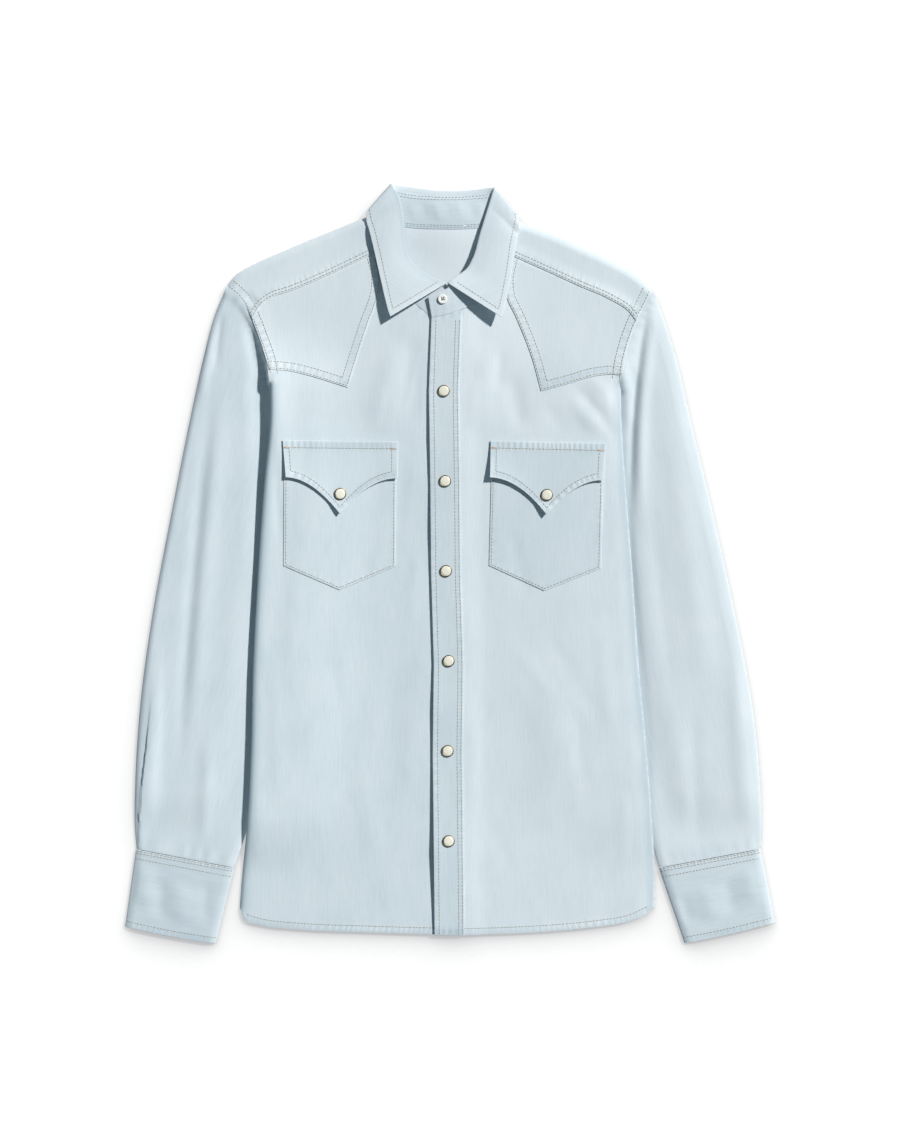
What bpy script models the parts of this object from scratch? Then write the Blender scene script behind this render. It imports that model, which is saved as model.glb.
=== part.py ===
"""Western snap shirt in pale denim, laid flat on its back with its sleeves down beside the body.

Frame: metres, +Z up from the surface it lies on, +Y from the hem to the collar and +X towards the
wearer's left. Every piece is drafted in millimetres as a tailor does: x from the centre front,
y up from the hem and z up from the surface. The draft is then moved so that the origin lies on
the surface under the middle of the shirt. "right" and "left" are the wearer's own sides.
"""

import math

import bmesh
import bpy
import numpy as np
from mathutils import Vector

MM = 0.001                       # metres in one millimetre of the draft
ORIGIN = (3.0, 373.0)            # the draft's point that lies over the origin

# Cloth
CLOTH = 1.0                      # wall of one layer of denim
TWO_PLY = 1.5                    # wall of the collar and the cuffs, two layers stitched together
GAP = 0.3                        # clearance at every seam
LAYER = CLOTH + GAP              # step from one front to the other where they lap
OVERLAY = CLOTH + 0.6            # step to a piece sewn flat on a panel
WELD = 0.00001                   # points closer than this, in metres, are one

# How the body lies: two layers that close into a fold along the sides and the shoulders
HEM_LOFT = 3.0                   # middle of the back to middle of the front, at the hem
CHEST_LOFT = 3.2                 # added above the chest
NECK_LOFT = 3.0                  # added where the collar holds the front up
FOLD_REACH = 7.0                 # distance over which the two layers close into a fold
FOLD_LINE = 0.25                 # within this distance of a fold the two layers are one
SLEEVE_BED = 8.0                 # how far the sleeves lift the body's sides
BED_SLOPE = 85.0                 # distance over which the body comes down off the sleeve
NECK_LIFT = 2.4                  # the back neck lies on the folded collar
SIDE_TURN = 12.0                 # how far the fronts reach under the body to the side seams
TURN_FADE = 30.0                 # below the underarm, distance over which that reach runs out
PLACKET_WIDTH = 30.0
PLACKET_EASE = 22.0              # distance over which the overlap comes down beside the placket

# How the sleeves lie
SLEEVE_LOFT = 2.6                # middle to middle of a sleeve's layers, where the body covers it
SLEEVE_PUFF = 3.0                # added along the middle of the sleeve
CUFF_LOFT = 4.0
HEAD_DROP = 15.0                 # distance over which the sleeve comes down from the armhole
NARROW = 45.0                    # a sleeve narrower than this closes over a shorter distance
SEAM_PLAY = 1.0                  # plan distance between the two edges of an armhole seam
UNDERARM_PLAY = 0.9              # added at the underarm, where both edges are folds

# Fastenings
SNAP_RING = (5.9, 5.1, 1.5)      # outer radius, inner radius, height of the metal ring
SNAP_CAP = (4.85, 2.1)           # radius and height of the pearl cap
BUTTON = (4.6, 2.2, 0.7, 1.35)   # radius, thickness, hole radius, hole distance from the middle
BUTTON_PLACE = (-4.5, 636.5)
ROUND_SIDES = 12                 # sides of a small round piece
SNAP_PITCH = 90.0
LOWEST_SNAP = 95.0
SNAP_COUNT = 6

SIDES = {"right": -1, "left": 1}
FRONT_WIDTH = 200.0              # nominal width of a front, from its side fold
UNDERARM_SHARE = 0.87            # share of a front's rows that lies below the underarm
FRONT_ROWS = np.concatenate((np.linspace(0, 0.85, 18), np.linspace(UNDERARM_SHARE, 1, 6)))

# Side folds of the body, from the hem to the underarm: y, then x on the wearer's right and left
SIDE_FOLD = ((27, -207, 206), (60, -204.5, 206.5), (106, -199.5, 204), (187, -195, 198),
             (267, -193, 190.5), (363, -188, 184), (450, -182, 177.5), (517, -176, 173.5), (551, -176, 173))
# Hem of the two fronts, from the side fold to the far edge of each: x, y
HEM = {"right": ((-207, 27), (-202, 15), (-185, 10), (-150, 6), (-80, 3), (12, 0.3)),
       "left": ((206, 27), (202, 23), (182, 14), (150, 8.5), (110, 4.5), (50, 1.3), (-12, 0.3))}
# Shoulder folds, from the neck to the sleeve head: x, y
SHOULDER_FOLD = {"right": ((-74, 721), (-107, 708), (-165, 684), (-192, 672), (-212, 660), (-220, 650)),
                 "left": ((66, 715.5), (90, 707.5), (146, 684), (171, 672), (191, 660), (205, 647))}
# Armhole seams, from the underarm to the sleeve head: x, y. The shoulder seam meets one at its SEAM_ROW.
ARMHOLE = {"right": ((-176, 551), (-180, 576), (-188, 599), (-195, 617), (-205, 636), (-220, 650)),
           "left": ((173, 551), (176, 573), (182, 595), (190, 616), (198, 632), (205, 647))}
SEAM_ROW = 3
# Front shoulder seams, from the armhole to the neck: x, y
SHOULDER_SEAM = {"right": ((-195, 617), (-187, 631), (-176, 639.5), (-157, 646), (-117, 663), (-73, 684)),
                 "left": ((190, 616), (182, 626), (163, 638), (133, 651), (100, 666), (64, 682))}
BACK_SEAM_Y = 599.0              # seam between the back and the yoke, on the underside
BACK_CORNERS = (14.0, 19.0)      # y of the back's hem at its two side seams
HEM_STEP = 1.5                   # the back's hem lies this much above the fronts'
# Front yokes: lower edge from the armhole to the point, then the edge up to the neck: x, y
YOKE_EDGE = {"right": ((-177.2, 566), (-157, 564.5), (-137, 560), (-117, 554), (-99, 548.5)),
             "left": ((175, 561), (163, 561.5), (149, 560), (120, 552), (94, 545))}
YOKE_RISE = {"right": ((-99, 548.5), (-92, 571), (-79, 611), (-68, 643), (-67, 661), (-72, 681.5)),
             "left": ((94, 545), (85, 578), (68, 621), (60, 638), (58, 657), (62.5, 679.5))}
# Middle line of the placket: y, x
PLACKET = ((0, 2.5), (95, 1.6), (182, 0.6), (272, 1.7), (361, -1), (451, -1.8), (545, -3.2), (622, -0.5))
PLACKET_TOP = (618.4, 626.0)     # y of its upper end at the free edge and at the other one
UNDERLAP_X = 12.0                # the right front ends here, under the placket
# How far the placket's free edge stands up: y, height
PLACKET_LIFT = ((0, 0.6), (40, 1.8), (85, 3.2), (120, 1.8), (182, 0.5), (227, 1.6), (272, 0.5), (361, 0.4),
                (406, 1.4), (451, 0.4), (500, 1.4), (545, 0.4), (622, 0.0))

# Chest pockets: x and y of the top's middle, tilt in degrees, then how far each corner of the flap stands up
POCKET_PLACE = {"right": (-106.5, 488, -0.4), "left": (101.0, 487, -1.4)}
POCKET = {"width": 112.0, "side": 118.0, "point": 24.0}
FLAP = {"width": 115.0, "side": 37.0, "point": 36.0, "above": 7.0}
FLAP_LIFT = {"right": (4.0, 3.0), "left": (3.0, 5.5)}   # at the outer and the inner corner
FLAP_SNAP_UP = 20.0              # the flap's snap, above its point

# Sleeves, from the armhole to the cuff: x, y
SLEEVE_OUTER = {"right": ((-220, 650), (-231, 624), (-244, 576), (-257, 516), (-276, 420), (-294, 324),
                          (-307, 228), (-311.5, 160), (-312, 108), (-310.5, 86)),
                "left": ((205, 647), (214, 624), (229, 576), (243, 516), (266, 420), (287, 324),
                         (305, 228), (312, 160), (313.5, 108), (313, 86))}
SLEEVE_INNER = {"right": ((-176, 551), (-180, 538), (-178, 520), (-167, 490), (-159, 450), (-159, 380),
                          (-165, 300), (-177, 200), (-193, 130), (-204, 98), (-214.5, 67.5)),
                "left": ((173, 551), (177, 538), (175, 520), (165, 490), (156, 450), (156, 380), (163, 300),
                         (179, 200), (196, 130), (205, 98), (213.5, 67.5))}
# Hidden width of a sleeve under the body: y, width
SLEEVE_TUCK = ((100, 0), (130, 7), (200, 19), (300, 28), (400, 29), (450, 24), (490, 13), (517, 2), (551, 0))
# Cuffs: upper outer, upper inner, lower inner and lower outer corners
CUFF = {"right": ((-310.5, 86), (-214.5, 67.5), (-233, -8), (-321.5, 8.5)),
        "left": ((313, 86), (213.5, 67.5), (239, -7.5), (327.5, 12.5))}

# Main folds pressed into the front and the sleeves: x and y of both ends, width, height
FRONT_FOLDS = ((-140, 60, -110, 300, 26, 1.3), (-60, 120, -48, 330, 22, -1.0), (88, 90, 130, 330, 26, 1.2),
               (48, 300, 150, 130, 20, 0.9), (-70, 500, -50, 600, 13, 1.6), (-36, 500, -34, 610, 10, -1.2),
               (32, 500, 40, 600, 12, 1.5), (75, 500, 62, 570, 9, -1.1), (140, 500, 160, 545, 12, 1.2))
SLEEVE_FOLDS = {"right": ((-222, 560, -262, 250, 13, 1.8), (-236, 520, -276, 180, 9, -1.9),
                          (-290, 260, -296, 110, 8, 1.7), (-240, 180, -244, 100, 7, 1.2)),
                "left": ((215, 560, 262, 250, 15, 1.6), (196, 480, 236, 200, 10, -1.3),
                         (288, 250, 300, 110, 9, 1.3), (246, 210, 252, 100, 8, -1.1))}

# Collar, a row for each section: the neck's x, y, the roll's x, y, z, and the x, y, z of the fall's free edge
COLLAR_RIGHT = (("tab", 12, 626.5, 13, 650, 11.0, -56.5, 618.5, 19.0),
                ("front", 0, 622.5, -1, 653, 12.0, -56.5, 618.5, 19.0),
                ("button side", -16, 622, -12, 658, 12.3, -59, 626, 18.6),
                ("below the roll", -32, 634, -22, 663, 12.5, -62, 638, 18.0),
                ("beside the neck", -55, 656, -36, 675, 12.6, -67, 660, 16.5),
                ("shoulder seam", -73, 684, -41.5, 692, 12.4, -72, 682, 14.8),
                ("shoulder", -77, 704, -43.5, 720, 11.3, -77.5, 705, 13.0),
                ("above the shoulder", -76, 715, -48.5, 741, 9.8, -80.5, 716, 10.0),
                ("turn", -74, 721, -54, 751.5, 9.4, -80.5, 723, 10.0))
COLLAR_BACK = (("right turn", -74, 721, -54, 751.5, 3.6, -80.5, 723, 0.8),
               ("right back", -60, 714.5, -49.5, 751, 3.6, -69, 717, 0.8),
               ("right of the middle", -44, 711, -36, 749.5, 3.4, -48, 713.5, 0.8),
               ("middle back", -5, 708.3, -5, 745.8, 3.4, -5, 711.5, 0.8),
               ("left of the middle", 32, 709.5, 28, 747, 3.4, 36, 712.5, 0.8),
               ("left back", 52, 712, 41, 748.5, 3.6, 58, 715, 0.8),
               ("left turn", 66, 715.5, 46.5, 748.5, 3.6, 70.8, 719, 0.8))
COLLAR_LEFT = (("turn", 66, 715.5, 46.5, 748.5, 9.0, 70.8, 719, 10.0),
               ("above the shoulder", 69, 710, 44.5, 740, 9.2, 72.0, 713, 9.5),
               ("shoulder", 69.5, 699, 38.5, 721, 10.9, 70.5, 702, 12.8),
               ("shoulder seam", 64, 682, 32, 703, 12.0, 68.5, 690, 14.0),
               ("beside the neck", 50, 655, 25, 680, 12.8, 64.5, 663, 16.5),
               ("below the roll", 32, 638, 17.5, 666, 13.6, 60.5, 642, 18.5),
               ("button side", 18, 629, 9, 659, 14.2, 57.5, 628, 20.0),
               ("front", 0, 622.5, 1, 653, 14.8, 54.5, 617.5, 21.0),
               ("tab", -15.5, 619.5, -19.5, 643, 15.0, 54.5, 617.5, 21.0))
COLLAR = {"right": COLLAR_RIGHT, "back": COLLAR_BACK, "left": COLLAR_LEFT}
# Sections between which the neck belongs to a front or to a side of the yoke
FRONT_NECK = {"right": (5, 0), "left": (3, 8)}
YOKE_NECK = {"right": (5, 8), "left": (3, 0)}
LAPPED = (5, 7)                  # between these sections of its left part the stand climbs onto the placket
COLLAR_COLUMNS = {"right": 14, "back": 14, "left": 14}
TURN_COLUMNS = (0.0, 1.2, 2.6, 4.5, 7.5, 12.0)   # columns beside each turn, at these distances from it
COLLAR_REACH = 4.5               # distance over which the collar's two layers close at a turn
STAND_SHARE = 0.77               # the stand's part of the way from the neck to the roll
ROLL_RADIUS = 1.3                # the fall turns over the stand on this radius
FALL_BULGE = 1.0                 # the fall is crowned by this much

DENIM = ("pale denim", (0.60, 0.71, 0.78), 0.9, 0.0)
DENIM_INSIDE = ("pale denim, yoke", (0.62, 0.70, 0.75), 0.9, 0.0)
PEARL = ("pearl snap cap", (0.80, 0.77, 0.66), 0.3, 0.0)
RING_METAL = ("antique brass ring", (0.30, 0.26, 0.20), 0.35, 1.0)
SHELL_BUTTON = ("white button", (0.88, 0.87, 0.82), 0.3, 0.0)


# ---------------------------------------------------------------- curves and patches

def ease(t):
    """0 to 1 with a level start and end."""
    t = np.clip(t, 0.0, 1.0)
    return t * t * (3.0 - 2.0 * t)


def chord_marks(points):
    """Place of each point along its polyline, 0 to 1."""
    steps = np.linalg.norm(np.diff(points, axis=0), axis=1)
    marks = np.concatenate(([0.0], np.cumsum(steps)))
    return marks / marks[-1]


def curve(points, places, marks=None):
    """Smooth curve through the points, read at places from 0 to 1."""
    points = np.asarray(points, float)
    marks = chord_marks(points) if marks is None else marks
    tangents = np.gradient(points, marks, axis=0)
    places = np.clip(np.asarray(places, float), 0.0, 1.0)
    i = np.clip(np.searchsorted(marks, places, side="right") - 1, 0, len(points) - 2)
    span = (marks[i + 1] - marks[i])[:, None]
    t = (places - marks[i])[:, None] / span
    return ((2 * t ** 3 - 3 * t ** 2 + 1) * points[i] + (t ** 3 - 2 * t ** 2 + t) * span * tangents[i]
            + (3 * t ** 2 - 2 * t ** 3) * points[i + 1] + (t ** 3 - t ** 2) * span * tangents[i + 1])


def joined(pieces, shares, places):
    """Curves end to end with a corner between them; each takes its share of the places."""
    starts = np.concatenate(([0.0], np.cumsum(shares)))
    which = np.clip(np.searchsorted(starts, places, side="left") - 1, 0, len(pieces) - 1)
    result = np.zeros((len(places), 2))
    for k, piece in enumerate(pieces):
        here = which == k
        result[here] = curve(piece, (places[here] - starts[k]) / shares[k])
    return result


def patch(across, up, bottom, top, first, last):
    """Plan points inside four edges: bottom and top run across, first and last run up."""
    u, v = across[None, :, None], up[:, None, None]
    corners = ((1 - u) * (1 - v) * first[0] + u * (1 - v) * last[0]
               + (1 - u) * v * first[-1] + u * v * last[-1])
    return (1 - v) * bottom[None] + v * top[None] + (1 - u) * first[:, None] + u * last[:, None] - corners


def distance(plan, line):
    """Distance in plan from each point to a polyline."""
    start, along = line[:-1], np.diff(line, axis=0)
    away = plan[..., None, :2] - start
    t = np.clip((away * along).sum(-1) / (along * along).sum(-1), 0.0, 1.0)
    return np.linalg.norm(away - t[..., None] * along, axis=-1).min(-1)


def fold_relief(plan, folds):
    """Height that the pressed folds add: round ridges and troughs that fade at their ends."""
    total = np.zeros(plan.shape[:-1])
    for x0, y0, x1, y1, width, height in folds:
        away = distance(plan, np.array(((x0, y0), (x1, y1)), float))
        total += height * np.exp(-(away / width) ** 2)
    return total


# ---------------------------------------------------------------- the lie of the body and the sleeves

SIDE_LINE = {"right": np.array([(row[1], row[0]) for row in SIDE_FOLD], float),
             "left": np.array([(row[2], row[0]) for row in SIDE_FOLD], float)}
FINE = np.linspace(0.0, 1.0, 160)
SIDE_CURVE = {side: curve(line, FINE) for side, line in SIDE_LINE.items()}
SHOULDER_CURVE = {side: curve(line, FINE) for side, line in SHOULDER_FOLD.items()}
ARMHOLE_CURVE = {side: curve(line, FINE) for side, line in ARMHOLE.items()}
COLLAR_PLAN = {part: np.array([row[1:3] for row in rows], float) for part, rows in COLLAR.items()}
COLLAR_ROLL = {part: np.array([row[3:6] for row in rows], float) for part, rows in COLLAR.items()}
COLLAR_EDGE = {part: np.array([row[6:9] for row in rows], float) for part, rows in COLLAR.items()}
COLLAR_MARKS = {part: chord_marks(np.hstack((COLLAR_PLAN[part], COLLAR_ROLL[part]))) for part in COLLAR}
UNDERARM_Y = SIDE_FOLD[-1][0]


def neck_line(part, first, last, places):
    """Plan of the neck seam from one section of a part of the collar to another."""
    marks = COLLAR_MARKS[part]
    return curve(COLLAR_PLAN[part], marks[first] + (marks[last] - marks[first]) * np.asarray(places), marks)


def closing(away, reach=FOLD_REACH):
    """How far two layers stand apart at this distance from the fold that joins them, 0 to 1."""
    share = np.clip((away - FOLD_LINE) / reach, 0.0, 1.0)
    return np.sqrt(1.0 - (1.0 - share) ** 2)


def body_lie(plan):
    """Middle height between the body's two layers, and half the distance between them."""
    x, y = plan[..., 0], plan[..., 1]
    loft = (HEM_LOFT + CHEST_LOFT * ease((y - 380) / 200)
            + NECK_LOFT * np.exp(-((x / 75) ** 2 + ((y - 630) / 55) ** 2)))
    side = np.minimum(distance(plan, SIDE_CURVE["right"]), distance(plan, SIDE_CURVE["left"]))
    tuck = np.interp(y, *zip(*SLEEVE_TUCK))
    bed = SLEEVE_BED * (1 - ease((side - tuck - 6) / BED_SLOPE))
    bed = bed * ease((y - 60) / 60) * (1 - ease((y - 545) / 80))
    neck = NECK_LIFT * np.exp(-(distance(plan, COLLAR_PLAN["back"]) / 22) ** 2)
    shoulder = np.minimum(distance(plan, SHOULDER_CURVE["right"]), distance(plan, SHOULDER_CURVE["left"]))
    middle = CLOTH / 2 + loft / 2 + bed + neck
    return middle, loft / 2 * closing(np.minimum(side, shoulder)), closing(np.minimum(side, shoulder))


def lower_layer(plan):
    middle, half, _ = body_lie(plan)
    return middle - half


def upper_layer(plan):
    """The wearer's right front, and everything sewn to it."""
    middle, half, open_share = body_lie(plan)
    return middle + half + fold_relief(plan, FRONT_FOLDS) * open_share


def placket_middle(y):
    return np.interp(y, *zip(*PLACKET))


def overlap_layer(plan):
    """The wearer's left front, which laps over the right one at the centre."""
    x, y = plan[..., 0], plan[..., 1]
    off = x - placket_middle(y)
    lap = LAYER * (1 - ease((off - PLACKET_WIDTH / 2 - 2) / PLACKET_EASE))
    lift = np.interp(y, *zip(*PLACKET_LIFT)) * np.clip((PLACKET_WIDTH - off) / (1.5 * PLACKET_WIDTH), 0, 1)
    return upper_layer(plan) + lap + lift


FRONT_LAYER = {"right": upper_layer, "left": overlap_layer}


def sleeve_layers(plan, side):
    """Lower and upper height of a sleeve's two layers."""
    inner = curve(SLEEVE_INNER[side], FINE)
    outer = curve(SLEEVE_OUTER[side], FINE)
    to_inner, to_outer = distance(plan, inner), distance(plan, outer)
    share = to_inner / (to_inner + to_outer + 1e-6)
    y = plan[..., 1]
    loft = SLEEVE_LOFT + SLEEVE_PUFF * ease((share - 0.25) / 0.3) * ease((y - 95) / 50)
    loft += (CUFF_LOFT - loft) * (1 - ease((y - 80) / 40)) * 0.5
    head = 1 - ease(distance(plan, ARMHOLE_CURVE[side]) / HEAD_DROP)
    body_middle, body_half, _ = body_lie(plan)
    open_share = closing(np.minimum(to_inner, to_outer))
    middle = (CLOTH / 2 + loft / 2) * (1 - head) + body_middle * head
    half = loft / 2 * (1 - head) * open_share + body_half * head
    folds = fold_relief(plan, SLEEVE_FOLDS[side]) * open_share * (1 - head) * ease((share - 0.3) / 0.15)
    return middle - half, middle + half + folds


# ---------------------------------------------------------------- solids

def lift(plan, height):
    """Plan points with their height, as 3-D draft points."""
    return np.concatenate((plan[..., :2], height[..., None]), axis=-1)


def metres(point):
    return Vector(((point[0] - ORIGIN[0]) * MM, (point[1] - ORIGIN[1]) * MM, point[2] * MM))


def finish_of(spec):
    """Material from a name, a base colour, a roughness and a metallic value."""
    name, colour, roughness, metallic = spec
    material = bpy.data.materials.get(name) or bpy.data.materials.new(name)
    material.use_nodes = True
    shader = material.node_tree.nodes["Principled BSDF"]
    shader.inputs["Base Color"].default_value = (*colour, 1.0)
    shader.inputs["Roughness"].default_value = roughness
    shader.inputs["Metallic"].default_value = metallic
    return material


def add_object(name, bm, finish):
    mesh = bpy.data.meshes.new(name)
    bm.to_mesh(mesh)
    bm.free()
    mesh.materials.append(finish_of(finish))
    mesh.shade_smooth()
    mesh.set_sharp_from_angle(angle=math.radians(40))
    piece = bpy.data.objects.new(name, mesh)
    bpy.context.scene.collection.objects.link(piece)
    return piece


def cloth(name, grids, wall=CLOTH, finish=DENIM):
    """One cut piece: grids of draft points, welded where they meet and given the cloth's wall."""
    bm = bmesh.new()
    for grid in grids:
        rows, columns = grid.shape[:2]
        verts = [[bm.verts.new(metres(grid[j, i])) for i in range(columns)] for j in range(rows)]
        for j in range(rows - 1):
            for i in range(columns - 1):
                bm.faces.new((verts[j][i], verts[j][i + 1], verts[j + 1][i + 1], verts[j + 1][i]))
    bmesh.ops.remove_doubles(bm, verts=bm.verts, dist=WELD)
    bmesh.ops.dissolve_degenerate(bm, edges=bm.edges, dist=WELD)
    bmesh.ops.recalc_face_normals(bm, faces=bm.faces)
    piece = add_object(name, bm, finish)
    solid = piece.modifiers.new("wall", "SOLIDIFY")
    solid.thickness = wall * MM
    solid.offset = 0.0
    solid.use_even_offset = True
    return piece


def spread(count, start=0.0, end=1.0):
    return np.linspace(start, end, count)


def fold_columns(width):
    """Shares of a width at which a layer turns into its fold: at it, just inside it and at its reach."""
    return np.array((0.0, 0.3 * FOLD_REACH, FOLD_REACH)) / width


def front_columns():
    """Shares across a front, and the one of them where the shoulder seam meets the neck."""
    columns = np.concatenate((fold_columns(FRONT_WIDTH), spread(14, 0.1, 1)))
    return columns, columns[-8]


def seam_places():
    """Places along the shoulder seam that the front and both yokes share."""
    columns, neck = front_columns()
    return columns[columns <= neck] / neck


def side_turn(y):
    """How far a front reaches under the body to its side seam: it runs out towards the underarm."""
    return SIDE_TURN * ease((UNDERARM_Y - y) / TURN_FADE)


def front(side):
    """A front: hem, side fold with its turn under to the side seam, armhole, shoulder seam and neck."""
    up = FRONT_ROWS
    columns, neck_column = front_columns()
    side_edge = joined((SIDE_LINE[side], ARMHOLE[side][:SEAM_ROW + 1]),
                       (UNDERARM_SHARE, 1 - UNDERARM_SHARE), up)
    neck = neck_line(side, *FRONT_NECK[side], FINE)
    foot_y, head_y = HEM[side][-1][1], neck[-1][1]
    heights = foot_y + (head_y - foot_y) * up
    reach = placket_middle(heights) - PLACKET_WIDTH / 2 + 1
    if side == "right":
        reach = np.full(len(up), UNDERLAP_X)
    centre = np.stack((reach, heights), axis=-1)
    hem_line = np.vstack((HEM[side][:-1], centre[:1]))
    top = joined((SHOULDER_SEAM[side], neck), (neck_column, 1 - neck_column), columns)
    top[0], top[-1] = side_edge[-1], centre[-1]
    plan = patch(columns, up, curve(hem_line, columns), top, side_edge, centre)
    turned_rows = up < UNDERARM_SHARE
    fold = side_edge[turned_rows]
    under = np.array((1.0, 0.55, 0.2, 0.0)) * side_turn(fold[:, 1:])
    turn = np.stack((fold[:, :1] - SIDES[side] * under, np.broadcast_to(fold[:, 1:], under.shape)), axis=-1)
    turn[0, :, 1] = np.interp(under[0], np.abs(plan[0, :, 0] - fold[0, 0]), plan[0, :, 1])
    plan[-1, :, 1] -= 2 * GAP
    cloth("front_" + side, (lift(plan, FRONT_LAYER[side](plan)), lift(turn, lower_layer(turn))))


def back():
    """The back, which lies on the surface between the two side seams."""
    below = FRONT_ROWS[FRONT_ROWS <= UNDERARM_SHARE] / UNDERARM_SHARE * 0.92
    up = np.concatenate((below, (0.96, 1.0)))
    across = np.concatenate(((0.0, 0.02), spread(11, 0.06, 0.94), (0.98, 1.0)))
    edges = {}
    for side, sign in SIDES.items():
        line = joined((SIDE_LINE[side], ARMHOLE[side][:3]), (0.92, 0.08), up)
        line[:, 0] -= sign * (side_turn(line[:, 1]) + SEAM_PLAY)
        edges[side] = line
    hem_points = np.array(HEM["right"][1:-1] + ((0, 0.3),) + HEM["left"][-2:1:-1], float)
    for side, end, corner_y in (("right", 0, BACK_CORNERS[0]), ("left", -1, BACK_CORNERS[1])):
        hem_points[end] = edges[side][0] = (edges[side][0, 0], corner_y)
    hem = curve(hem_points, across)
    for line in (hem, edges["right"][:1], edges["left"][:1]):
        line[:, 1] += HEM_STEP
    seam = np.stack((edges["right"][-1, 0] + (edges["left"][-1, 0] - edges["right"][-1, 0]) * across,
                     np.full(len(across), BACK_SEAM_Y)), axis=-1)
    edges["right"][-1, 1] = edges["left"][-1, 1] = BACK_SEAM_Y
    plan = patch(across, up, hem, seam, edges["right"], edges["left"])
    cloth("back", (lift(plan, lower_layer(plan)),))


def yoke():
    """The yoke: its back part under the neck, and a wing over each shoulder down to the front seam."""
    seam_y = BACK_SEAM_Y + GAP
    up_back = np.concatenate((spread(7, 0, 0.9), (0.975, 1.0)))
    up_front = np.concatenate((spread(4, 0, 0.78), (0.93, 1.0)))
    along = seam_places()
    grids = []
    corners = {}
    for side in SIDES:
        fold = curve(SHOULDER_FOLD[side][::-1], along)
        arm = curve(ARMHOLE[side], FINE)
        above = arm[arm[:, 1] > seam_y]
        start = np.array((np.interp(seam_y, arm[:, 1], arm[:, 0]), seam_y))
        arm_back = curve(np.vstack((start[None], above[4:-8:16], above[-1:])), up_back)
        corners[side] = inner = np.stack((np.full(len(up_back), fold[-1, 0]),
                                          seam_y + (fold[-1, 1] - seam_y) * up_back), axis=-1)
        plan = patch(along, up_back, start + (inner[0] - start) * along[:, None], fold, arm_back, inner)
        grids.append(lift(plan, lower_layer(plan)))
        seam = curve(SHOULDER_SEAM[side], along)
        arm_front = curve(ARMHOLE[side][SEAM_ROW:], up_front)
        throat = neck_line(side, *YOKE_NECK[side], up_front)
        plan = patch(along, up_front, seam, fold, arm_front, throat)
        grids.append(lift(plan, upper_layer(plan)))
    across = spread(13)
    right, left = corners["right"], corners["left"]
    foot = right[0] + (left[0] - right[0]) * across[:, None]
    plan = patch(across, up_back, foot, neck_line("back", 0, -1, across), right, left)
    grids.append(lift(plan, lower_layer(plan)))
    cloth("yoke", grids, finish=DENIM_INSIDE)


def front_yoke(side):
    """The pointed yoke on a front, one layer above it."""
    across, up = seam_places(), spread(8)
    top = curve(SHOULDER_SEAM[side], across) - (0.0, 2 * GAP)
    arm = curve(((YOKE_EDGE[side][0],) + ARMHOLE[side][2:SEAM_ROW + 1]), up)
    rise = curve(YOKE_RISE[side], up)
    arm[-1], rise[-1] = top[0], top[-1]
    plan = patch(across, up, curve(YOKE_EDGE[side], across), top, arm, rise)
    cloth("front_yoke_" + side, (lift(plan, FRONT_LAYER[side](plan) + OVERLAY),))


def placket():
    """The strip down the overlapping front, one layer above it."""
    across = spread(4, -0.5, 0.5)
    foot = HEM["left"][-1][1]
    top = PLACKET_TOP[0] + (across + 0.5) * (PLACKET_TOP[1] - PLACKET_TOP[0])
    y = foot + (top - foot) * FRONT_ROWS[:, None]
    plan = np.stack((placket_middle(y) + across * PLACKET_WIDTH, y), axis=-1)
    cloth("placket", (lift(plan, overlap_layer(plan) + OVERLAY),))


def pocket_frame(side):
    """Turns pocket draft points, x from its middle and y down from its top, into plan points."""
    x0, y0, tilt = POCKET_PLACE[side]
    cos, sin = math.cos(math.radians(tilt)), math.sin(math.radians(tilt))

    def place(x, y):
        return np.stack((x0 + x * cos - y * sin, y0 + x * sin + y * cos), axis=-1)
    return place


def pocket(side):
    """A patch pocket with a pointed foot, one layer above the front."""
    u, v = np.meshgrid(spread(9, -0.5, 0.5), spread(7))
    foot = -(POCKET["side"] + POCKET["point"] * (1 - 2 * np.abs(u)))
    plan = pocket_frame(side)(u * POCKET["width"], foot * v)
    cloth("pocket_" + side, (lift(plan, FRONT_LAYER[side](plan) + OVERLAY),))


def flap_plan(side, u, v):
    """Plan of a flap: u across from -0.5 to 0.5, v down from 0 to 1, with two scallops to its point."""
    depth = FLAP["side"] + FLAP["point"] * (1 - 2 * np.abs(u)) ** 2
    return pocket_frame(side)(u * FLAP["width"], FLAP["above"] - depth * v)


def flap_height(side, plan):
    """A flap lies two layers above the front and stands up along its free edge."""
    x0, y0, tilt = POCKET_PLACE[side]
    cos, sin = math.cos(math.radians(tilt)), math.sin(math.radians(tilt))
    x, y = plan[..., 0] - x0, plan[..., 1] - y0
    u = np.clip((x * cos + y * sin) / FLAP["width"], -0.5, 0.5)
    down = np.maximum(FLAP["above"] - (y * cos - x * sin), 0.0)
    outer, inner = FLAP_LIFT[side]
    towards_left = u + 0.5
    edge = inner + (outer - inner) * (towards_left if side == "left" else 1 - towards_left)
    stand = edge * (down / FLAP["side"]) ** 1.5 * (0.18 + 0.82 * (2 * u) ** 2)
    return FRONT_LAYER[side](plan) + 2 * OVERLAY + stand


def flap(side):
    u, v = np.meshgrid(spread(15, -0.5, 0.5), spread(6))
    plan = flap_plan(side, u, v)
    cloth("pocket_flap_" + side, (lift(plan, flap_height(side, plan)),))


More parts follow.
